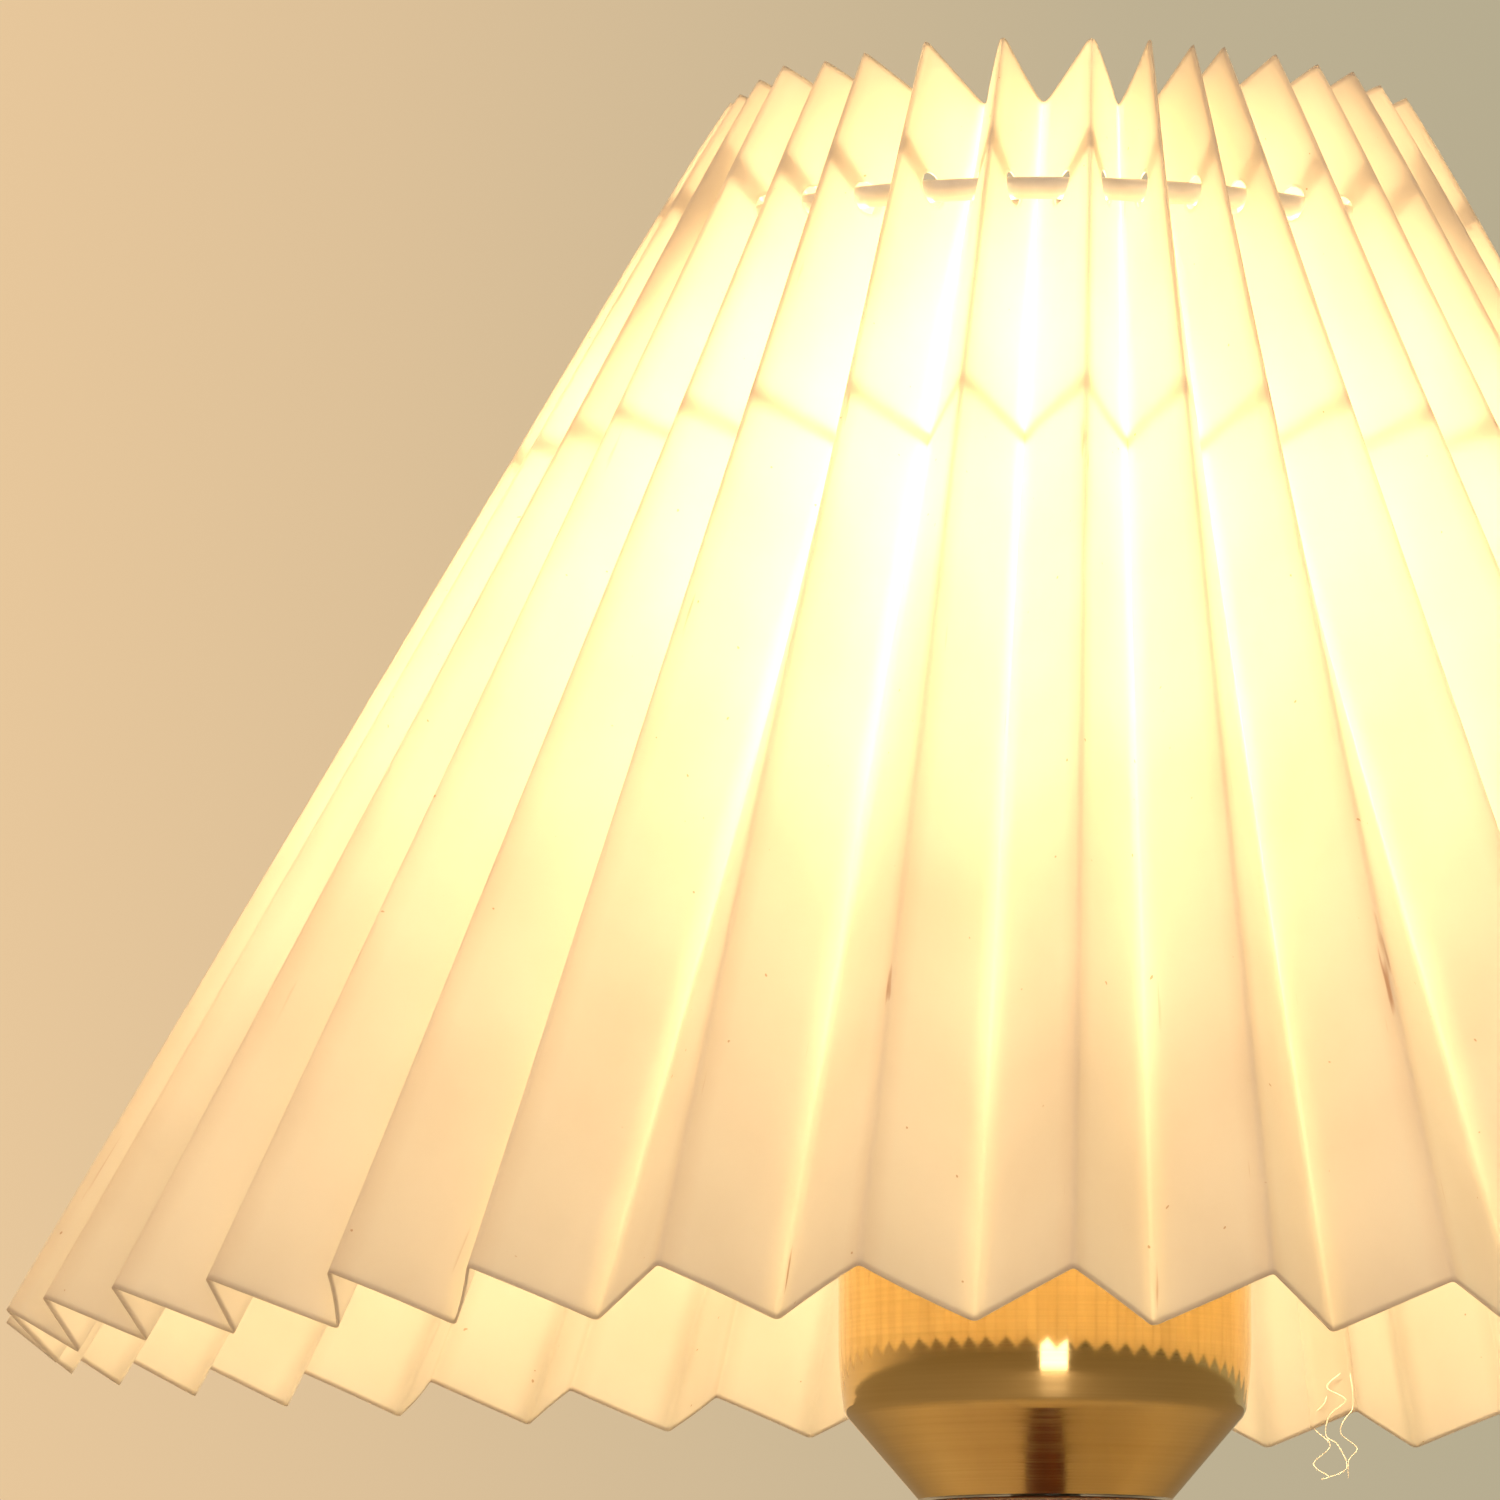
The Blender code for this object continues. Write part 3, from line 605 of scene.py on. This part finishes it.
class PleatedSheet:
    """Mid surface of the folded strip, point by point."""

    rows = [0.0, 0.004, 0.02, 0.045, 0.07]
    hole_share = 0.1055
    hole_radius = 2.55
    hole_reach = 0.25
    length = 206.0

    def __init__(self):
        self.ends = fold_ends()
        bend = random.Random(5)
        self.bows = [(bend.uniform(-0.45, 0.45), bend.uniform(-0.3, 0.3), bend.uniform(0.0, TURN))
                     for _ in range(2 * PLEATS)]

    def fold(self, index, share):
        top, foot = self.ends[index]
        return top.lerp(foot, share)

    @staticmethod
    def edge(share):
        """Share of a panel's width that a fold's rounding takes, which grows towards the open top."""
        return (0.8 + 1.5 * math.exp(-share / 0.05)) / PANEL_WIDTH

    def flat_point(self, panel, across, share):
        """Point of a panel with sharp folds, bowed a little off its plane."""
        start = self.fold(panel, share)
        end = self.fold(panel + 1, share)
        along = self.fold(panel, 1.0) - self.fold(panel, 0.0)
        normal = along.cross(end - start).normalized()
        bow, wave, phase = self.bows[panel % (2 * PLEATS)]
        lift = math.sin(math.pi * across) * (bow * math.sin(math.pi * share) + wave * math.sin(7.0 * share + phase))
        return start.lerp(end, across) + normal * lift

    def rounded_fold(self, index, share, place):
        """Point on the small curve that rounds a fold, place running from -1 to 1 across it."""
        corner = self.fold(index, share)
        edge = self.edge(share)
        before = self.flat_point(index - 1 if index else 2 * PLEATS - 1, 1.0 - edge, share)
        after = self.flat_point(index if index < 2 * PLEATS else 0, edge, share)
        t = (place + 1.0) / 2.0
        return before.lerp(corner, t).lerp(corner.lerp(after, t), t)

    def columns(self):
        """Columns of one panel as (kind, value): places round its two folds and shares across it."""
        reach = self.hole_reach
        shares = [0.5 - reach, 0.5 - reach / 2, 0.5, 0.5 + reach / 2, 0.5 + reach]
        inner = [0.5 * (self.edge(0.0) + shares[0])] + shares + [1.0 - 0.5 * (self.edge(0.0) + shares[0])]
        flat = [("flat", share) for share in inner]
        return [("first", 0.0), ("first", 0.5), ("first", 1.0)] + flat + [("last", -1.0), ("last", -0.5)]

    def levels(self):
        step = self.hole_reach * PANEL_WIDTH / self.length / 2
        hole = [self.hole_share + step * count for count in (-2, -1, 0, 1, 2)]
        below = [0.15 + 0.046 * count for count in range(18)]
        return self.rows + hole + below + [0.965, 0.996, 1.0]

    def point(self, panel, column, share):
        kind, value = column
        if kind == "first":
            return self.rounded_fold(panel, share, value)
        if kind == "last":
            return self.rounded_fold(panel + 1, share, value)
        return self.flat_point(panel, value, share)

    def marks(self, panel, column, share):
        """How near a point is to a ridge, a valley and a cut edge, and where it is on the flat strip."""
        kind, value = column
        across = {"first": 0.5 * value * self.edge(share), "last": 1.0 + 0.5 * value * self.edge(share)}.get(kind, value)
        near = max(0.0, 1.0 - PANEL_WIDTH * min(across, 1.0 - across) / 2.2)
        on_first = across < 0.5
        at_ridge = (panel % 2 == 0) == on_first
        edge = 1.0 if min(share, 1.0 - share) < 0.002 else 0.0
        strip = Vector(((panel + across) * PANEL_WIDTH * MM, share * self.length * MM, 0.0))
        return (near if at_ridge else 0.0, 0.0 if at_ridge else near, edge, 1.0), strip

    def build(self):
        """Mesh of the whole strip with a round hole in the middle of each panel."""
        shape = bmesh.new()
        fold_layer = shape.verts.layers.float_color.new("folds")
        flat_layer = shape.verts.layers.float_vector.new("flat")
        columns = self.columns()
        levels = self.levels()
        first_hole = columns.index(("flat", 0.5 - self.hole_reach))
        hole_level = levels.index(self.hole_share)

        def vertex(panel, column, share, push=0.0):
            place = self.point(panel, column, share)
            if push:
                place = place - Vector((place.x, place.y, 0.0)).normalized() * push
            made = shape.verts.new(place * MM)
            made[fold_layer], made[flat_layer] = self.marks(panel, column, share)
            return made

        grid = []
        for panel in range(2 * PLEATS):
            for column in columns:
                grid.append([vertex(panel, column, share) for share in levels])
        overlap = [column for column in columns if column[0] != "last"][:7]
        for column in overlap:
            grid.append([vertex(0, column, share, push=0.75) for share in levels])

        width = len(columns)
        for index in range(len(grid) - 1):
            panel, column = divmod(index, width)
            beside_hole = panel < 2 * PLEATS and first_hole <= column < first_hole + 4
            for level in range(len(levels) - 1):
                if beside_hole and hole_level - 2 <= level < hole_level + 2:
                    continue
                shape.faces.new((grid[index][level], grid[index][level + 1],
                                 grid[index + 1][level + 1], grid[index + 1][level]))
        for panel in range(2 * PLEATS):
            self.punch(shape, grid, panel * width + first_hole, hole_level - 2, panel, vertex)
        loose = [v for v in shape.verts if not v.link_faces]
        bmesh.ops.delete(shape, geom=loose, context="VERTS")
        return smooth_mesh(shape, "pleated_sheet", 60.0)

    def punch(self, shape, grid, first, level, panel, vertex):
        """Join the square frame round a panel's hole to the hole's round edge."""
        frame_verts = [grid[first + step][level] for step in range(4)]
        frame_verts += [grid[first + 4][level + step] for step in range(4)]
        frame_verts += [grid[first + 4 - step][level + 4] for step in range(4)]
        frame_verts += [grid[first][level + 4 - step] for step in range(4)]
        ridge = self.fold(panel, self.hole_share).xy.length
        other = self.fold(panel + 1, self.hole_share).xy.length
        centre = (ridge - TOP_RING_RADIUS) / (ridge - other)
        rims = []
        for scale in (1.25, 1.0):
            rim = []
            for step in range(16):
                angle = math.radians(-135.0 + 22.5 * step)
                across = centre + scale * self.hole_radius / PANEL_WIDTH * math.cos(angle)
                share = self.hole_share + scale * self.hole_radius / self.length * math.sin(angle)
                rim.append(vertex(panel, ("flat", across), share))
            rims.append(rim)
        for outer, inner in ((frame_verts, rims[0]), (rims[0], rims[1])):
            for step in range(16):
                after = (step + 1) % 16
                shape.faces.new((outer[step], outer[after], inner[after], inner[step]))


def make_sheet():
    mesh = PleatedSheet().build()
    mesh.transform(lean())
    sheet = place_piece("shade_pleated_sheet", mesh, "shade_sheet", "shade", "pleated_shade")
    skin = sheet.modifiers.new("thickness", "SOLIDIFY")
    skin.thickness = THICKNESS * MM
    skin.offset = 0.0
    return sheet


def ring_points(radius, height, count=144):
    return [polar(radius, 360.0 * step / count, height) for step in range(count)]


def make_carrier():
    """Two wire rings and three arms, leaning with the sheet, and the fitter ring."""
    rings = [("shade_top_ring", "carrier_top_ring", TOP_RING_RADIUS, TOP_RING_HEIGHT, TOP_WIRE),
             ("shade_lower_ring", "carrier_lower_ring", LOWER_RING_RADIUS, LOWER_RING_HEIGHT, LOWER_WIRE)]
    for name, node, radius, height, wire in rings:
        curve = wire_curve(name, ring_points(radius, height), wire, closed=True)
        curve.transform(lean())
        place_piece(name, curve, "white_wire", "shade", node)

    fitter_radius = FITTER_HIGH.x / MM
    low, high = FITTER_LOW.z / MM, FITTER_HIGH.z / MM
    middle = (low + high) / 2
    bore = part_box("shade_clamp_ring")[1].x / MM - 5.8
    fitter = turned("fitter", softened([(bore, low), (fitter_radius, low), (fitter_radius, high), (bore, high)], 0.4))
    place_piece("shade_fitter_ring", fitter, "white_wire", "shade", "carrier_fitter_ring")

    at_lower = LOWER_RING_RADIUS - LOWER_WIRE - ARM_WIRE
    at_top = TOP_RING_RADIUS - TOP_WIRE - ARM_WIRE
    arm = smooth_route([
        (fitter_radius - 2.0, middle), (38.0, middle + 1.0), (50.0, middle + 16.0), (at_lower - 3.0, 350.0),
        (at_lower, LOWER_RING_HEIGHT), (at_top, TOP_RING_HEIGHT), (at_top - 0.8, TOP_RING_HEIGHT + 3.0)], 9)
    folds = fold_ends()
    for side, nominal in (("back", 180.0), ("left", -60.0), ("right", 60.0)):
        ridges = [top.lerp(foot, PleatedSheet.hole_share) for top, foot in folds[::2]]
        places = [math.degrees(math.atan2(ridge.x, -ridge.y)) for ridge in ridges]
        azimuth = min(places, key=lambda place: abs((place - nominal + 180.0) % 360.0 - 180.0))
        points = [polar(radius, azimuth, height) for radius, height in arm]
        curve = wire_curve("arm_" + side, points, ARM_WIRE)
        curve.transform(lean())
        place_piece("shade_arm_" + side, curve, "white_wire", "shade", "carrier_arm_" + side)


def make_threads():
    """Nylon thread ends: two curls under the seam and one that stands up behind the top."""
    material = nylon_thread()
    seam = FIRST_RIDGE + SEAM_PLEAT * 360.0 / PLEATS
    curl = random.Random(3)
    tufts = []
    for offset in (-0.6, 0.7, 1.6):
        points = [polar(RIM_RADIUS - 6.5, seam + offset * 0.5, VALLEY_FOOT + 12.0)]
        for step in range(1, 8):
            points.append(polar(RIM_RADIUS - 6.0 + curl.uniform(-1.6, 1.6), seam + offset + curl.uniform(-0.8, 0.8),
                                VALLEY_FOOT + 12.0 - 2.4 * step + curl.uniform(-0.8, 0.8)))
        tufts.append(points)
    for azimuth in (-160.0, -166.0):
        points = [polar(45.0, azimuth, RIDGE_TOP - 12.0)]
        for step in range(1, 6):
            points.append(polar(46.0 + curl.uniform(-1.5, 2.5), azimuth + 3.0 * step + curl.uniform(-1.0, 1.0),
                                RIDGE_TOP - 9.0 + 2.6 * min(step, 4) + curl.uniform(-0.6, 0.6)))
        tufts.append(points)
    for number, points in enumerate(tufts):
        curve = wire_curve(f"thread_{number}", smooth_route(points, 6), 0.08, resolution=2)
        curve.transform(lean())
        place_piece(f"shade_thread_end_{number}", curve, "shade_sheet", "shade", material=material)


# ---------------------------------------------------------------- stand

def cut(piece, cutter_mesh, name):
    """Take a cutter's shape out of a piece."""
    cutter = bpy.data.objects.new(name, cutter_mesh)
    bpy.context.scene.collection.objects.link(cutter)
    knife = piece.modifiers.new("cut", "BOOLEAN")
    knife.operation = "DIFFERENCE"
    knife.object = cutter
    graph = bpy.context.evaluated_depsgraph_get()
    result = bpy.data.meshes.new_from_object(piece.evaluated_get(graph))
    piece.modifiers.clear()
    piece.data = result
    bpy.data.objects.remove(cutter)


def make_base():
    """Felt, spun cover in dark lacquer with the cord's bush in its back, and the collar under the stem."""
    felt_low, felt_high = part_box("felt_pad")
    radius, top = felt_high.x / MM, felt_high.z / MM
    fray = random.Random(2)
    ragged = [fray.uniform(-0.12, 0.12) for _ in range(160)]
    felt = turned("felt", softened([(0.0, 0.0), (radius, 0.0), (radius, top), (0.0, top)], 0.5), 160,
                  lambda r, h, angle: ragged[round(angle / TURN * 160) % 160] if r > radius - 1.0 else 0.0)
    place_piece("base_felt", felt, "felt", "stand", "felt_pad")

    low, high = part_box("base_cover")
    radius, top, foot = high.x / MM, high.z / MM, low.z / MM
    wall = 1.2
    fillet = 5.0
    side_top = 14.0
    crown_edge = 24.0
    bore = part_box("threaded_rod")[1].x / MM + 0.5

    def crown(reach, drop):
        share = max((reach - crown_edge) / (radius - fillet - crown_edge), 0.0)
        return (reach, top - drop - (top - side_top - fillet) * share ** 1.7)

    reaches = [crown_edge + (radius - fillet - crown_edge) * step / 24 for step in range(25)]
    outside = [(radius, foot)] + arc((radius - fillet, side_top), fillet, 0.0, 90.0, 12)[:-1]
    outside += [crown(reach, 0.0) for reach in reversed(reaches)]
    inside = [crown(reach, wall) for reach in reaches]
    inside += arc((radius - fillet, side_top), fillet - wall, 90.0, 0.0, 8)[1:] + [(radius - wall, foot)]
    outline = outside + [(bore, top), (bore, top - wall)] + inside
    cover = place_piece("base_spun_cover", turned("cover", softened(outline, 0.3), 160), "dark_lacquer", "stand",
                        "base_cover")
    hole = turned("inlet", [(0.0, -10.0), (4.3, -10.0), (4.3, 10.0), (0.0, 10.0)], 48)
    bush_height = sum(corner.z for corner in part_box("cord_inlet_bush")) / 2
    to_back = Matrix.Translation((0.0, radius * MM, bush_height)) @ Matrix.Rotation(math.radians(-90.0), 4, "X")
    hole.transform(to_back)
    cut(cover, hole, "inlet_cutter")

    bush = turned("bush", softened([
        (3.0, -3.2), (3.9, -3.2), (3.9, 0.3), (5.4, 0.3), (5.4, 1.4), (4.6, 2.2), (3.0, 2.2)], 0.35), 64)
    bush.transform(to_back)
    place_piece("base_cord_bush", bush, "black_plastic", "stand", "cord_inlet_bush")

    low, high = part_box("foot_collar")
    reach, foot, top = high.x / MM, low.z / MM, high.z / MM
    cove = arc((25.5, top - 2.2), 3.0, 250.0, 130.0, 12)
    collar = turned("collar", softened([(bore, foot), (25.0, foot)] + cove + [(21.0, top), (bore, top)], 0.35), 128)
    aged = plated_metal("aged_brass", (0.26, 0.16, 0.065), 0.30, (1.0, 1.0, 9.0))
    place_piece("stem_foot_collar", collar, "brass", "stand", "foot_collar", material=aged)


def make_stem():
    """Turned wooden stem with a waist."""
    low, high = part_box("stem")
    foot, top = low.z / MM, high.z / MM
    foot_radius, waist_radius, top_radius, waist_at = high.x / MM, 14.0, 18.0, 0.38
    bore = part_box("threaded_rod")[1].x / MM + 0.5

    def reach(share):
        if share < waist_at:
            return waist_radius + (foot_radius - waist_radius) * ((waist_at - share) / waist_at) ** 2
        return waist_radius + (top_radius - waist_radius) * ((share - waist_at) / (1.0 - waist_at)) ** 2

    side = [(reach(step / 48), foot + (top - foot) * step / 48) for step in range(49)]
    wood = turned("stem_wood", softened([(bore, foot)] + side + [(bore, top)], 0.7), 128)
    place_piece("stem_turned_wood", wood, "dark_wood", "stand", "stem")


def make_cup():
    """Spun brass cup: straight wall, round corner and a cone foot, with a rolled rim."""
    low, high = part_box("cup")
    radius, rim, foot = high.x / MM, high.z / MM, low.z / MM
    foot_radius, corner, wall = 18.2, 3.0, 1.0
    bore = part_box("threaded_rod")[1].x / MM + 0.5
    drawn_from, drawn_rate = 271.0, 0.016
    corner_top = 261.5
    drawn_in = 0.5 * drawn_rate * (drawn_from - corner_top) ** 2
    centre = (radius - drawn_in - corner, corner_top)
    outside = [(foot_radius, foot)] + arc(centre, corner, -44.0, -9.0, 10)
    drawn = [corner_top + (drawn_from - corner_top) * step / 16 for step in range(1, 17)]
    wall_side = [(radius - 0.5 * drawn_rate * (drawn_from - height) ** 2, height) for height in drawn]
    wall_side += stretch_points((radius, drawn_from + 1.0), (radius, rim - 2.0), 8)
    lip = [(radius, rim - 2.0), (radius + 0.25, rim - 1.2), (radius + 0.25, rim - 0.5), (radius - 0.3, rim),
           (radius - wall, rim - 0.3)]
    inside = arc(centre, corner - wall, 0.0, -48.0, 10) + [(foot_radius - 0.4, foot + wall), (bore, foot + wall)]
    mesh = turned("cup_brass", [(bore, foot)] + outside + wall_side + lip + inside, 192)
    place_piece("cup_spun", mesh, "brass", "stand", "cup")


def make_lampholder():
    """Moulded base and threaded shell, seat ring, clamp ring with a knurled edge, and the screw shell."""
    base_low, base_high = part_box("lampholder_base")
    foot, split, outer = base_low.z / MM, base_high.z / MM, base_high.x / MM
    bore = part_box("threaded_rod")[1].x / MM + 0.3
    ribs = 24

    def grip(radius, height, angle):
        return -0.35 * max(0.0, math.cos(ribs * angle)) if radius > outer - 0.2 and 269.0 < height < 278.0 else 0.0

    body = [(bore, foot), (9.0, foot), (9.0, foot + 3.5), (19.0, 264.0), (outer, 267.0)]
    body += stretch_points((outer, 268.5), (outer, 278.5), 8) + [(outer, split), (17.8, split), (17.8, 263.8)]
    mesh = turned("holder_base", softened(body + [(bore, foot + 4.9)], 0.4), 192, grip)
    place_piece("lampholder_moulded_base", mesh, "black_plastic", "stand", "lampholder_base")

    low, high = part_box("lampholder_shell")
    radius, top, foot = high.x / MM, high.z / MM, low.z / MM
    seat_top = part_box("shade_seat_ring")[1].z / MM
    thread_pitch = 2.0

    def thread(reach, height, angle):
        if reach < radius - 0.6 or not seat_top + 0.4 < height < top - 0.6:
            return 0.0
        wave = (height / thread_pitch - angle / TURN) % 1.0
        return -0.5 * abs(2.0 * wave - 1.0)

    wall = stretch_points((radius, seat_top), (radius, top - 0.5), 44)
    shell = turned("holder_shell", [(16.6, top), (16.6, foot), (radius, foot)] + wall
                   + [(radius, top - 0.5), (radius - 0.5, top)], 128, thread)
    place_piece("lampholder_threaded_shell", shell, "black_plastic", "stand", "lampholder_shell")

    low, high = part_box("shade_seat_ring")
    reach, foot, top = high.x / MM, low.z / MM, high.z / MM
    ring = softened([(radius + 0.3, foot), (22.0, foot), (reach, top - 2.0), (reach, top), (radius + 0.3, top)], 0.4)
    place_piece("shade_seat", turned("seat", ring), "black_plastic", "stand", "shade_seat_ring")

    low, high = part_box("shade_clamp_ring")
    reach, foot, top = high.x / MM, low.z / MM, high.z / MM
    teeth = 48

    def knurl(distance, height, angle):
        return -0.3 * (0.5 + 0.5 * math.cos(teeth * angle)) if distance > reach - 0.5 else 0.0

    profile = [(radius + 0.35, foot), (reach - 0.8, foot), (reach, foot + 0.8), (reach, foot + 3.0),
               (23.0, foot + 3.6), (22.4, top), (radius + 0.35, top)]
    place_piece("clamp_ring_knurled", turned("clamp", softened(profile, 0.3), 384, knurl), "black_plastic",
                "clamp_ring", "shade_clamp_ring")

    low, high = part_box("screw_shell")
    foot, top = low.z / MM, high.z / MM
    thread_radius = 13.9

    def rolled(reach, height, angle):
        if reach < thread_radius - 1.0 or height < foot + 3.0:
            return 0.0
        return 0.28 * math.sin(TURN * (height / CAP_PITCH) - angle)

    outside = stretch_points((thread_radius + 0.12, foot + 1.0), (thread_radius + 0.12, top), 60)
    inside = stretch_points((thread_radius - 0.12, top), (thread_radius - 0.12, foot + 0.6), 60)
    shell = turned("screw_shell_sheet", [(9.0, foot), (thread_radius, foot)] + outside + inside
                   + [(thread_radius - 0.4, foot + 0.4), (9.0, foot + 0.4)], 96, rolled)
    place_piece("lampholder_screw_shell", shell, "brass_contact", "stand", "screw_shell")


# ---------------------------------------------------------------- bulb

def make_bulb():
    """Frosted glass, and a cap with a rolled thread that follows the screw shell's."""
    glass = 0.8
    neck_low, neck_radius = 290.0, 12.0
    shoulder, shoulder_radius = 308.5, 13.4
    flare = []
    for step in range(24):
        share = step / 24
        rise = 0.5 * (1.0 - math.cos(math.pi * share))
        flare.append((shoulder_radius + (BULB_RADIUS - shoulder_radius) * rise,
                      shoulder + (BULB_CENTRE - shoulder) * share))
    side = stretch_points((neck_radius, neck_low), (neck_radius, shoulder - 3.0), 3)
    side += [(neck_radius + 0.3, shoulder - 2.0), (neck_radius + 0.9, shoulder - 0.7)] + flare
    dome = arc((0.0, BULB_CENTRE), BULB_RADIUS, 0.0, 90.0, 24)
    dome[-1] = (0.0, BULB_CENTRE + BULB_RADIUS)
    hollow = arc((0.0, BULB_CENTRE), BULB_RADIUS - glass, 0.0, 90.0, 24)
    hollow[-1] = (0.0, BULB_CENTRE + BULB_RADIUS - glass)
    inside = [(radius - glass, height) for radius, height in side] + hollow
    globe = turned("globe", inside[::-1] + side + dome, 96)
    piece = place_piece("bulb_frosted_globe", globe, "bulb_glass", "bulb", "bulb_glass")
    piece.visible_shadow = False

    low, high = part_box("bulb_cap")
    foot, top = low.z / MM, high.z / MM
    thread_radius = 12.75

    def rolled(radius, height, angle):
        if height < foot + 2.4 or height > top - 2.4:
            return 0.0
        return 0.32 * math.sin(TURN * (height / CAP_PITCH) - angle)

    outside = [(12.0, foot), (12.6, foot + 1.0)] + stretch_points((thread_radius, foot + 1.6), (thread_radius, top), 64)
    inside = stretch_points((thread_radius - 0.25, top), (thread_radius - 0.25, foot + 1.8), 64)
    cap = turned("cap", outside + inside + [(11.9, foot + 0.5)], 96, rolled)
    place_piece("bulb_screw_cap", cap, "nickel", "bulb", "bulb_cap")

    insulator = softened([(5.0, 281.4), (7.0, 281.4), (11.6, 285.0), (11.6, 286.6), (5.0, 286.6)], 0.5)
    place_piece("bulb_glass_insulator", turned("insulator", insulator), "black_glass", "bulb", "bulb_insulator")
    tip = softened([(0.0, 280.8), (3.6, 280.8), (4.6, 281.6), (4.6, 282.8), (0.0, 282.8)], 0.5)
    place_piece("bulb_solder_tip", turned("tip", tip, 48), "solder", "bulb_seat", "bulb_tip")


# ---------------------------------------------------------------- studio

LIGHT_HEIGHT = 0.359
LIGHT_RADIUS = 0.008
LIGHT_POWER = 1.7


def add_lamp(name, kind, power, colour, place, target=None, **settings):
    data = bpy.data.lights.new(name, kind)
    data.energy = power
    data.color = colour
    for key, value in settings.items():
        setattr(data, key, value)
    lamp = bpy.data.objects.new(name, data)
    lamp.location = place
    if target is not None:
        lamp.rotation_euler = (Vector(target) - Vector(place)).to_track_quat("-Z", "Y").to_euler()
    bpy.context.scene.collection.objects.link(lamp)
    return lamp


def make_studio():
    """Warm lamp light in the bulb, a window behind the camera, soft fill, plain floor and plain surroundings."""
    add_lamp("bulb_light", "POINT", LIGHT_POWER, (1.0, 0.75, 0.40), (0.0, 0.0, LIGHT_HEIGHT),
             shadow_soft_size=LIGHT_RADIUS)
    middle = (0.0, 0.0, 0.3)
    add_lamp("window", "AREA", 5.0, (1.0, 0.88, 0.86), (0.17, -1.9, 0.34), (0.0, 0.0, 0.34),
             shape="RECTANGLE", size=0.5, size_y=0.66)
    add_lamp("ceiling", "AREA", 7.0, (1.0, 0.84, 0.78), (-0.9, -0.6, 2.2), middle, shape="SQUARE", size=1.8)

    world = bpy.data.worlds.new("studio")
    world.use_nodes = True
    bpy.context.scene.world = world
    tree = world.node_tree
    backdrop = tree.nodes["Background"]
    place = add_node(tree, "ShaderNodeTexCoord")
    axes = add_node(tree, "ShaderNodeSeparateXYZ")
    tree.links.new(place.outputs["Generated"], axes.inputs["Vector"])
    sideways = add_node(tree, "ShaderNodeMapRange")
    sideways.inputs["From Min"].default_value = -0.16
    sideways.inputs["From Max"].default_value = 0.07
    tree.links.new(axes.outputs["X"], sideways.inputs["Value"])
    wall = ramp(tree, sideways.outputs["Result"], [(0.0, (0.86, 0.60, 0.335)), (0.35, (0.72, 0.53, 0.315)),
                                                   (0.75, (0.52, 0.44, 0.29)), (1.0, (0.46, 0.41, 0.275))])
    forward = add_node(tree, "ShaderNodeMapRange")
    forward.inputs["From Min"].default_value = -0.3
    forward.inputs["From Max"].default_value = 0.5
    forward.inputs["To Min"].default_value = 0.32
    tree.links.new(axes.outputs["Y"], forward.inputs["Value"])
    tree.links.new(wall, backdrop.inputs["Color"])
    tree.links.new(forward.outputs["Result"], backdrop.inputs["Strength"])

    mesh = bpy.data.meshes.new("floor")
    reach = 6.0
    mesh.from_pydata([(-reach, -reach, 0.0), (reach, -reach, 0.0), (reach, reach, 0.0), (-reach, reach, 0.0)], [],
                     [(0, 1, 2, 3)])
    floor = bpy.data.objects.new("floor", mesh)
    made, tree, shader = surface("floor", (0.62, 0.57, 0.50), 0.6)
    mesh.materials.append(made)
    bpy.context.scene.collection.objects.link(floor)


def make_camera():
    """Long lens a little below the rim of the shade, looking slightly up."""
    data = bpy.data.cameras.new("camera")
    data.lens = 199.0
    data.sensor_width = 36.0
    camera = bpy.data.objects.new("camera", data)
    camera.location = (0.0, -1.190, 0.1911)
    camera.rotation_euler = (math.radians(90.0 + 7.905), 0.0, math.radians(2.035))
    bpy.context.scene.collection.objects.link(camera)
    bpy.context.scene.camera = camera
    bpy.context.scene.view_settings.view_transform = "Standard"


# ---------------------------------------------------------------- scene

def finish_cad_nodes():
    """Give every CAD node its slot's material, which the ones that stay visible show."""
    for entry in frame["record"]["subparts"]:
        node = frame["nodes"][entry["node"]]
        for slot in node.material_slots:
            slot.material = MATERIALS[entry["material_slot"]]
    for name in ("filament", "filament_mount"):
        frame["nodes"][name].visible_shadow = False


make_camera()
finish_cad_nodes()
make_base()
make_stem()
make_cup()
make_lampholder()
make_carrier()
make_sheet()
make_threads()
make_bulb()
make_studio()
